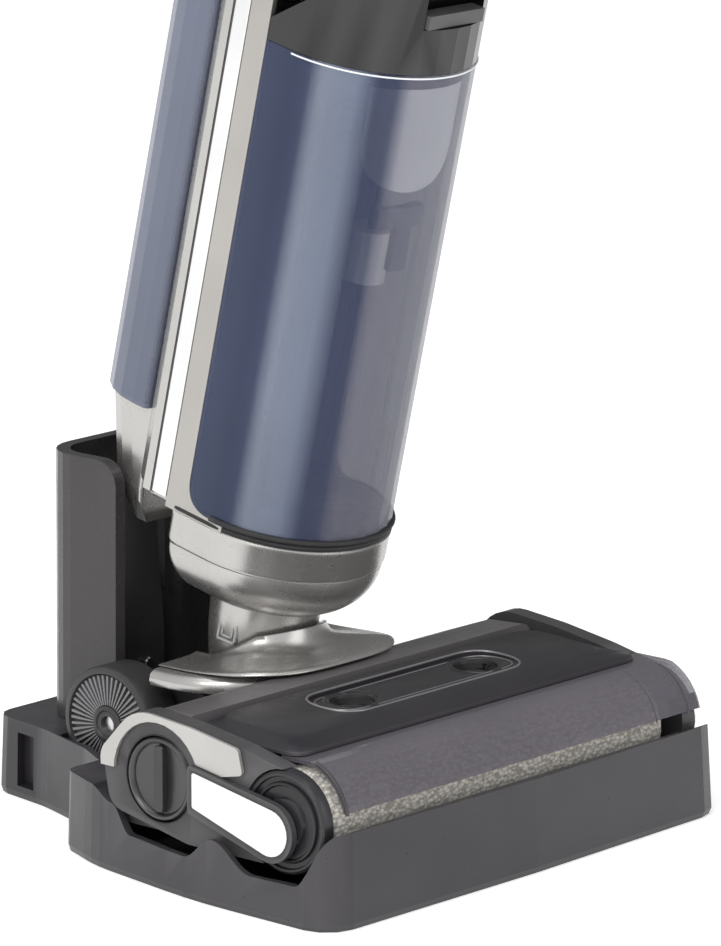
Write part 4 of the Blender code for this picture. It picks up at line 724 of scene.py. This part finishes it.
# ---------------------------------------------------------------- waste tank
def wall_patch(bm, first, last, low_w, high_w, inset, thick, foot_round):
    """Curved plate along the tank's wall between two angles in degrees, with a rounded foot."""
    steps = 28
    outside = TANK_RADIUS - TANK_WALL - inset
    inside = outside - thick
    outer, inner = [], []
    for i in range(steps + 1):
        share = i / steps
        angle = math.radians(first + (last - first) * share)
        foot = low_w + foot_round * (1.0 - math.sqrt(max(0.0, 1.0 - abs(2 * share - 1.0) ** 2)))
        outer.append((outside * math.sin(angle), -outside * math.cos(angle), foot))
        inner.append((inside * math.sin(angle), -inside * math.cos(angle), foot))
    top_outer = [(*point[:2], high_w) for point in outer]
    top_inner = [(*point[:2], high_w) for point in inner]
    rows = [outer, top_outer, top_inner, inner]
    skin(bm, rows, around=False, along=True)
    for end in (0, -1):
        bm.faces.new([bm.verts.new(row[end]) for row in rows])
    bmesh.ops.remove_doubles(bm, verts=bm.verts, dist=0.00001)


def make_tank_inside():
    """What shows through the clear tank: outlet cup, tongue and block, and a float bracket."""
    for name, look, patches in (
            ("outlet_cup", "cup", [(-44, 22, 0.2800, 0.3340, 0.0004, 0.0012, 0.0200)]),
            ("outlet_tongue", "tongue", [(-30, 19, 0.2850, 0.3070, 0.0030, 0.0040, 0.0120)]),
            ("outlet_block", "navy", [(-10, 20, 0.3120, 0.3330, 0.0020, 0.0070, 0.0)]),
            ("float_bracket", "navy", [(-24, 14, 0.2600, 0.2700, 0.0050, 0.0050, 0.0),
                                       (-8, 6, 0.2380, 0.2600, 0.0060, 0.0040, 0.0)])):
        bm = bmesh.new()
        for patch in patches:
            wall_patch(bm, *patch)
        new_piece(name, bm, look, "dirty_water", place=BODY, smooth_angle=60.0)


def make_tank_lines():
    """Light rim of the clear tank under the lid, and the black seal round its foot."""
    for name, w, look, size in (("tank_rim_top", TANK_TOP - 0.0012, "rim", 0.00045),
                                ("tank_foot_seal", TANK_FOOT + 0.0014, "rubber", 0.00150)):
        bm = bmesh.new()
        front = [(x * 1.004, u * 1.004 if u < 0 else u, w)
                 for x, u, w in tank_ring(TANK_RADIUS, BOWL_BACK, w) if u < 0.020]
        front.sort(key=lambda point: math.atan2(point[0], -point[1]))
        hose(bm, front, size, closed=False)
        new_piece(name, bm, look, "dirty_water", place=BODY, smooth_angle=60.0)


# ---------------------------------------------------------------- head
def make_roller():
    """Thick microfibre pile: a dense sleeve whose tufts stand out unevenly."""
    around, along = 150, 620
    clump_along, clump_around = 8, 6
    base = rng.random((along, around))
    tufts = base.copy()
    for shift in ((1, 0), (-1, 0), (0, 1), (0, -1)):
        tufts += 0.5 * np.roll(base, shift, axis=(0, 1))
    tufts = (tufts - tufts.min()) / (tufts.max() - tufts.min())
    clumps = rng.random((along // clump_along + 2, around // clump_around + 1))

    def ring(x, radii):
        """Points round the roller's axis at x, each at its own radius."""
        turns = [2 * math.pi * i / around for i in range(around)]
        return [(x, radius * math.cos(turn), ROLLER_Z + radius * math.sin(turn))
                for turn, radius in zip(turns, radii)]

    core = [ROLLER_RADIUS - 0.0032] * around
    rings = [ring(PILE_LOW_X, core)]
    length = PILE_HIGH_X - PILE_LOW_X
    for j in range(along):
        share = j / (along - 1)
        end = min(share, 1.0 - share) * length
        shoulder = 0.0018 * max(0.0, 1.0 - end / 0.0030) ** 2
        radii = []
        for i in range(around):
            lift = tufts[j, i] * 0.0011 + clumps[j // clump_along, i // clump_around] * 0.0005
            radii.append(ROLLER_RADIUS - 0.0015 + lift - shoulder)
        rings.append(ring(PILE_LOW_X + length * share, radii))
    rings.append(ring(PILE_HIGH_X, core))
    bm = bmesh.new()
    skin(bm, rings, along=True)
    new_piece("roller_pile", bm, "pile", "roller", ["roller_sleeve"], None, 80.0)


def make_hub():
    """Black end of the roller with raised concentric rings."""
    face = -HEAD_HALF - 0.0003
    bm = bmesh.new()
    profile = [(0.0170, -0.1170), (0.0170, -0.1268), (0.0246, -0.1272), (0.0246, face + 0.0022),
               (0.0240, face + 0.0008), (0.0228, face), (0.0218, face + 0.0002), (0.0212, face + 0.0014),
               (0.0192, face + 0.0016), (0.0186, face + 0.0004), (0.0176, face), (0.0168, face + 0.0012),
               (0.0120, face + 0.0014), (0.0112, face + 0.0002), (0.0001, face + 0.0001)]
    lathe(bm, profile, (0, 0, ROLLER_Z), "X", 128)
    new_piece("hub_face", bm, "hub", "roller_end", ["roller_end_cap"], None, 30.0)


def make_knob():
    """Quarter-turn lock: black rim, dished dark disc and an upright grip bar."""
    back = -HEAD_HALF + 0.0072
    bm = bmesh.new()
    profile = [(0.0001, back), (0.0195, back), (0.0197, -HEAD_HALF + 0.0004), (0.0190, -HEAD_HALF - 0.0006),
               (0.0178, -HEAD_HALF - 0.0008), (0.0169, -HEAD_HALF), (0.0164, -HEAD_HALF + 0.0014),
               (0.0120, -HEAD_HALF + 0.0022), (0.0001, -HEAD_HALF + 0.0028)]
    lathe(bm, profile, KNOB, "X", 128)
    new_piece("knob_disc", bm, "knob", "knob", ["roller_lock_knob"], None, 30.0)
    bm = bmesh.new()
    corners = ((-1, -1), (1, -1), (1, 1), (-1, 1))
    outline = rounded([(KNOB.y + KNOB_BAR_HALF * a, KNOB.z + KNOB_BAR_REACH * b, 0.0026) for a, b in corners])
    slab(bm, outline, -HEAD_HALF + 0.0035, -HEAD_HALF - 0.0010, "X", 0.0006)
    new_piece("knob_bar", bm, "knob_bar", "knob", smooth_angle=30.0)


def make_wheels():
    """Wheels: smooth tread, rim, ring round the axle and fine radial ribs on the outer side."""
    r = WHEEL_RADIUS
    for side, word in ((-1, "left"), (1, "right")):
        centre = Vector((side * (WHEEL_INNER + WHEEL_WIDTH / 2), WHEEL_Y, WHEEL_Z))
        out = side * WHEEL_WIDTH / 2
        bm = bmesh.new()
        profile = [(0.0041, -out), (r - 0.0022, -out), (r - 0.0006, -out * 0.93), (r, -out * 0.78),
                   (r, out * 0.78), (r - 0.0006, out * 0.94), (r - 0.0018, out), (r - 0.0034, out),
                   (r - 0.0040, out * 0.90),
                   (r - 0.0046, out * 0.80), (0.0092, out * 0.80), (0.0090, out * 0.97), (0.0082, out),
                   (0.0070, out), (0.0064, out * 0.95), (0.0041, out * 0.95)]
        lathe(bm, profile, centre, "X", 112, True)
        new_piece("wheel_tread_" + word, bm, "wheel", word + "_wheel", ["wheel_" + word], None, 32.0)
        bm = bmesh.new()
        for i in range(WHEEL_RIBS):
            turn = 2 * math.pi * i / WHEEL_RIBS
            along = Vector((0.0, math.cos(turn), math.sin(turn)))
            across = Vector((0.0, -math.sin(turn), math.cos(turn)))
            plan = [centre + along * radius + across * half
                    for radius, half in ((0.0094, -0.00030), (0.0094, 0.00030),
                                         (r - 0.0044, 0.00062), (r - 0.0044, -0.00062))]
            skin(bm, [[point + Vector((out * share, 0, 0)) for point in plan] for share in (0.78, 0.93)])
        new_piece("wheel_ribs_" + word, bm, "ribs", word + "_wheel", smooth_angle=30.0)


def cover_height(y):
    """Height of the cover's flat top, which rises slightly to the rear."""
    return COVER_EDGE + COVER_RISE * (y - COVER_FRONT) / (COVER_REAR - COVER_FRONT)


def rounded_loop(half, front, rear, radius, count=160):
    """Even points round a rectangle with round corners."""
    corners = ((-half, front), (half, front), (half, rear), (-half, rear))
    outline = rounded([(x, y, radius) for x, y in corners], 12)
    points = np.array(outline + [outline[0]])
    lengths = np.concatenate([[0], np.cumsum(np.linalg.norm(np.diff(points, axis=0), axis=1))])
    at = np.linspace(0, lengths[-1], count, endpoint=False)
    return list(zip(np.interp(at, lengths, points[:, 0]), np.interp(at, lengths, points[:, 1])))


def recess_loop(grow, count):
    """Even points round the cover's oblong recess, made larger by grow."""
    radius = RECESS_RADIUS + grow
    return rounded_loop(RECESS_REACH + grow, WELL_Y - radius, WELL_Y + radius, radius - 0.0002, count)


def make_cover():
    """Roller cover: steep border, flat plateau, oblong recess and two finger wells."""
    loops = [(0.0, 0.008, lambda y: COVER_UNDER), (0.0, 0.008, lambda y: COVER_UNDER + 0.0014),
             (0.0006, 0.008, lambda y: COVER_UNDER + 0.0020),
             (0.0100, 0.010, lambda y: cover_height(y) - 0.0005), (0.0112, 0.010, cover_height)]
    bm = bmesh.new()
    rings = []
    for inset, radius, height in loops:
        plan = rounded_loop(COVER_HALF - inset, COVER_FRONT + inset * 1.15, COVER_REAR - inset * 0.75,
                            radius + inset * 0.4)
        rings.append([(x, y, height(y)) for x, y in plan])
    skin(bm, rings)
    cover = new_piece("cover_shell", bm, "cover", "cover", ["roller_cover"], None, 25.0)
    cutter = bmesh.new()
    slab(cutter, recess_loop(0.0, 96), RECESS_FLOOR, ABOVE_COVER, "Z")
    carve(cover, cutter)
    wells = [(word, (side * WELL_SPACING / 2, WELL_Y, 0)) for side, word in ((-1, "left"), (1, "right"))]
    for word, centre in wells:
        cutter = bmesh.new()
        lathe(cutter, [(0.0100, COVER_UNDER + 0.0010), (0.0132, ABOVE_COVER)], centre, "Z", 64)
        carve(cover, cutter)
    for name, grow, size, height in (
            ("cover_bead", 0.0004, 0.0007, lambda y: cover_height(y) - 0.0001),
            ("recess_bead", -0.0030, 0.0004, lambda y: RECESS_FLOOR + 0.0001)):
        bm = bmesh.new()
        hose(bm, [(x, y, height(y)) for x, y in recess_loop(grow, 128)], size)
        new_piece(name, bm, "bead", "cover", smooth_angle=70.0)
    for word, centre in wells:
        bm = bmesh.new()
        lathe(bm, [(0.0124, 0.0783), (0.0131, 0.0790), (0.0138, 0.0790), (0.0145, 0.0784), (0.0140, 0.0780)],
              centre, "Z", 72, True)
        lathe(bm, [(0.0098, COVER_UNDER + 0.0011), (0.0120, 0.0782), (0.0116, 0.0782),
                   (0.0088, COVER_UNDER + 0.0018), (0.0050, COVER_UNDER + 0.0030),
                   (0.0001, COVER_UNDER + 0.0032), (0.0001, COVER_UNDER + 0.0011)], centre, "Z", 72)
        new_piece(f"finger_well_{word}", bm, "pit", "cover", smooth_angle=50.0)


def window_arc(radius, first, last, x, steps=24):
    """Points round the roller's axis between two angles in degrees, no higher than the cover's foot."""
    points = []
    for i in range(steps + 1):
        turn = math.radians(first + (last - first) * i / steps)
        points.append((x, radius * math.cos(turn), min(0.0722, ROLLER_Z + radius * math.sin(turn))))
    return points


def make_window_trim():
    """End rims of the window, the parting near its right end and the dark block beyond it."""
    bm = bmesh.new()
    for radius, x, size in ((WINDOW_RADIUS + 0.0002, -0.1218, 0.0010), (WINDOW_RADIUS, 0.1000, 0.0004),
                            (WINDOW_RADIUS, 0.1235, 0.0007)):
        hose(bm, window_arc(radius, 168, 108, x), size, closed=False)
    new_piece("window_rims", bm, "deck", "cover", smooth_angle=60.0)
    bm = bmesh.new()
    skin(bm, [window_arc(0.0283, 166, 150, x, 6) + window_arc(0.0268, 150, 166, x, 6)
              for x in (0.1130, 0.1325)])
    new_piece("window_end_block", bm, "gloss", "cover", smooth_angle=40.0)


def make_knob_parting():
    """Fine parting line round the lock knob."""
    sides, radius = 120, 0.0207
    x = -HEAD_HALF - 0.0001
    points = []
    for i in range(sides):
        turn = 2 * math.pi * i / sides
        points.append((x, KNOB.y + radius * math.cos(turn), KNOB.z + radius * math.sin(turn)))
    bm = bmesh.new()
    hose(bm, points, 0.0003, 6)
    new_piece("knob_parting", bm, "gloss", "head", smooth_angle=60.0)


make_bowl()
make_gasket()
make_neck()
make_spine()
make_boot()
make_spine_trim()
make_housing()
make_tank_inside()
make_tank_lines()
make_roller()
make_hub()
make_knob()
make_wheels()
make_cover()
make_window_trim()
make_knob_parting()


# ---------------------------------------------------------------- stage
def make_floor():
    """Plain pale floor with a faint glow, so that the background stays white."""
    bm = bmesh.new()
    bmesh.ops.create_grid(bm, x_segments=8, y_segments=8, size=FLOOR_SIZE)
    mesh = bpy.data.meshes.new("floor")
    bm.to_mesh(mesh)
    bm.free()
    floor = bpy.data.objects.new("floor", mesh)
    floor.location.z = -FLOOR_DROP
    bpy.context.scene.collection.objects.link(floor)
    g = Graph("floor_paint", Roughness=0.55, IOR=1.4, Emission_Strength=0.42, Emission_Color=(1.0, 1.0, 1.0))
    g.set("Base Color", g.ramp(g.noise(3.0, 2.0, 0.5), [(0.3, 0.90), (0.7, 0.93)]))
    mesh.materials.append(g.material)


def make_world():
    """Soft surroundings, bright on one side and dim on the other, and plain white behind the object."""
    world = bpy.data.worlds.new("studio")
    world.use_nodes = True
    bpy.context.scene.world = world
    tree = world.node_tree
    shade = tree.nodes["Background"]
    coords = tree.nodes.new("ShaderNodeTexCoord")
    ramp = tree.nodes.new("ShaderNodeValToRGB")
    turn = tree.nodes.new("ShaderNodeMapping")
    split = tree.nodes.new("ShaderNodeSeparateXYZ")
    seen = tree.nodes.new("ShaderNodeLightPath")
    mix = tree.nodes.new("ShaderNodeMix")
    mix.data_type = "RGBA"
    turn.inputs["Rotation"].default_value = (0.0, math.radians(-25.0), math.radians(-20.0))
    for element, (place, tone) in zip(ramp.color_ramp.elements, ((0.0, 0.95), (1.0, 0.10))):
        element.position = place
        element.color = (tone, tone, tone, 1.0)
    for place, tone in ((0.38, 0.66), (0.60, 0.30)):
        element = ramp.color_ramp.elements.new(place)
        element.color = (tone, tone, tone, 1.0)
    tree.links.new(coords.outputs["Generated"], turn.inputs["Vector"])
    tree.links.new(turn.outputs["Vector"], split.inputs["Vector"])
    half = tree.nodes.new("ShaderNodeMath")
    half.operation = "MULTIPLY_ADD"
    half.inputs[1].default_value = 0.5
    half.inputs[2].default_value = 0.5
    tree.links.new(split.outputs["X"], half.inputs[0])
    tree.links.new(half.outputs[0], ramp.inputs["Fac"])
    tree.links.new(seen.outputs["Is Camera Ray"], mix.inputs[0])
    tree.links.new(ramp.outputs["Color"], mix.inputs[6])
    mix.inputs[7].default_value = (1.0, 1.0, 1.0, 1.0)
    tree.links.new(mix.outputs[2], shade.inputs["Color"])
    shade.inputs["Strength"].default_value = 1.0


def soft_light(name, location, size, power):
    """White rectangular light that points at the object."""
    data = bpy.data.lights.new(name, "AREA")
    data.shape = "RECTANGLE"
    data.size, data.size_y = size
    data.energy = power
    light = bpy.data.objects.new(name, data)
    light.location = location
    light.rotation_euler = (Vector(LIGHT_TARGET) - Vector(location)).to_track_quat("-Z", "Y").to_euler()
    bpy.context.scene.collection.objects.link(light)


def make_camera():
    """Long lens from the machine's front left, looking slightly down."""
    data = bpy.data.cameras.new("camera")
    data.sensor_fit = "VERTICAL"
    data.sensor_height = 36.0
    data.sensor_width = 36.0
    data.lens = LENS
    data.clip_end = 60.0
    camera = bpy.data.objects.new("camera", data)
    camera.location = CAMERA_PLACE
    camera.rotation_euler = CAMERA_TURN
    bpy.context.scene.collection.objects.link(camera)
    bpy.context.scene.camera = camera


make_floor()
make_world()
soft_light("key", (-2.2, -0.6, 2.3), (1.6, 1.6), 30.0)
soft_light("fill", (0.6, -2.6, 1.2), (1.4, 2.0), 12.0)
soft_light("top", (0.0, 0.2, 3.0), (2.0, 2.0), 20.0)
make_camera()
bpy.context.scene.view_settings.view_transform = "Standard"
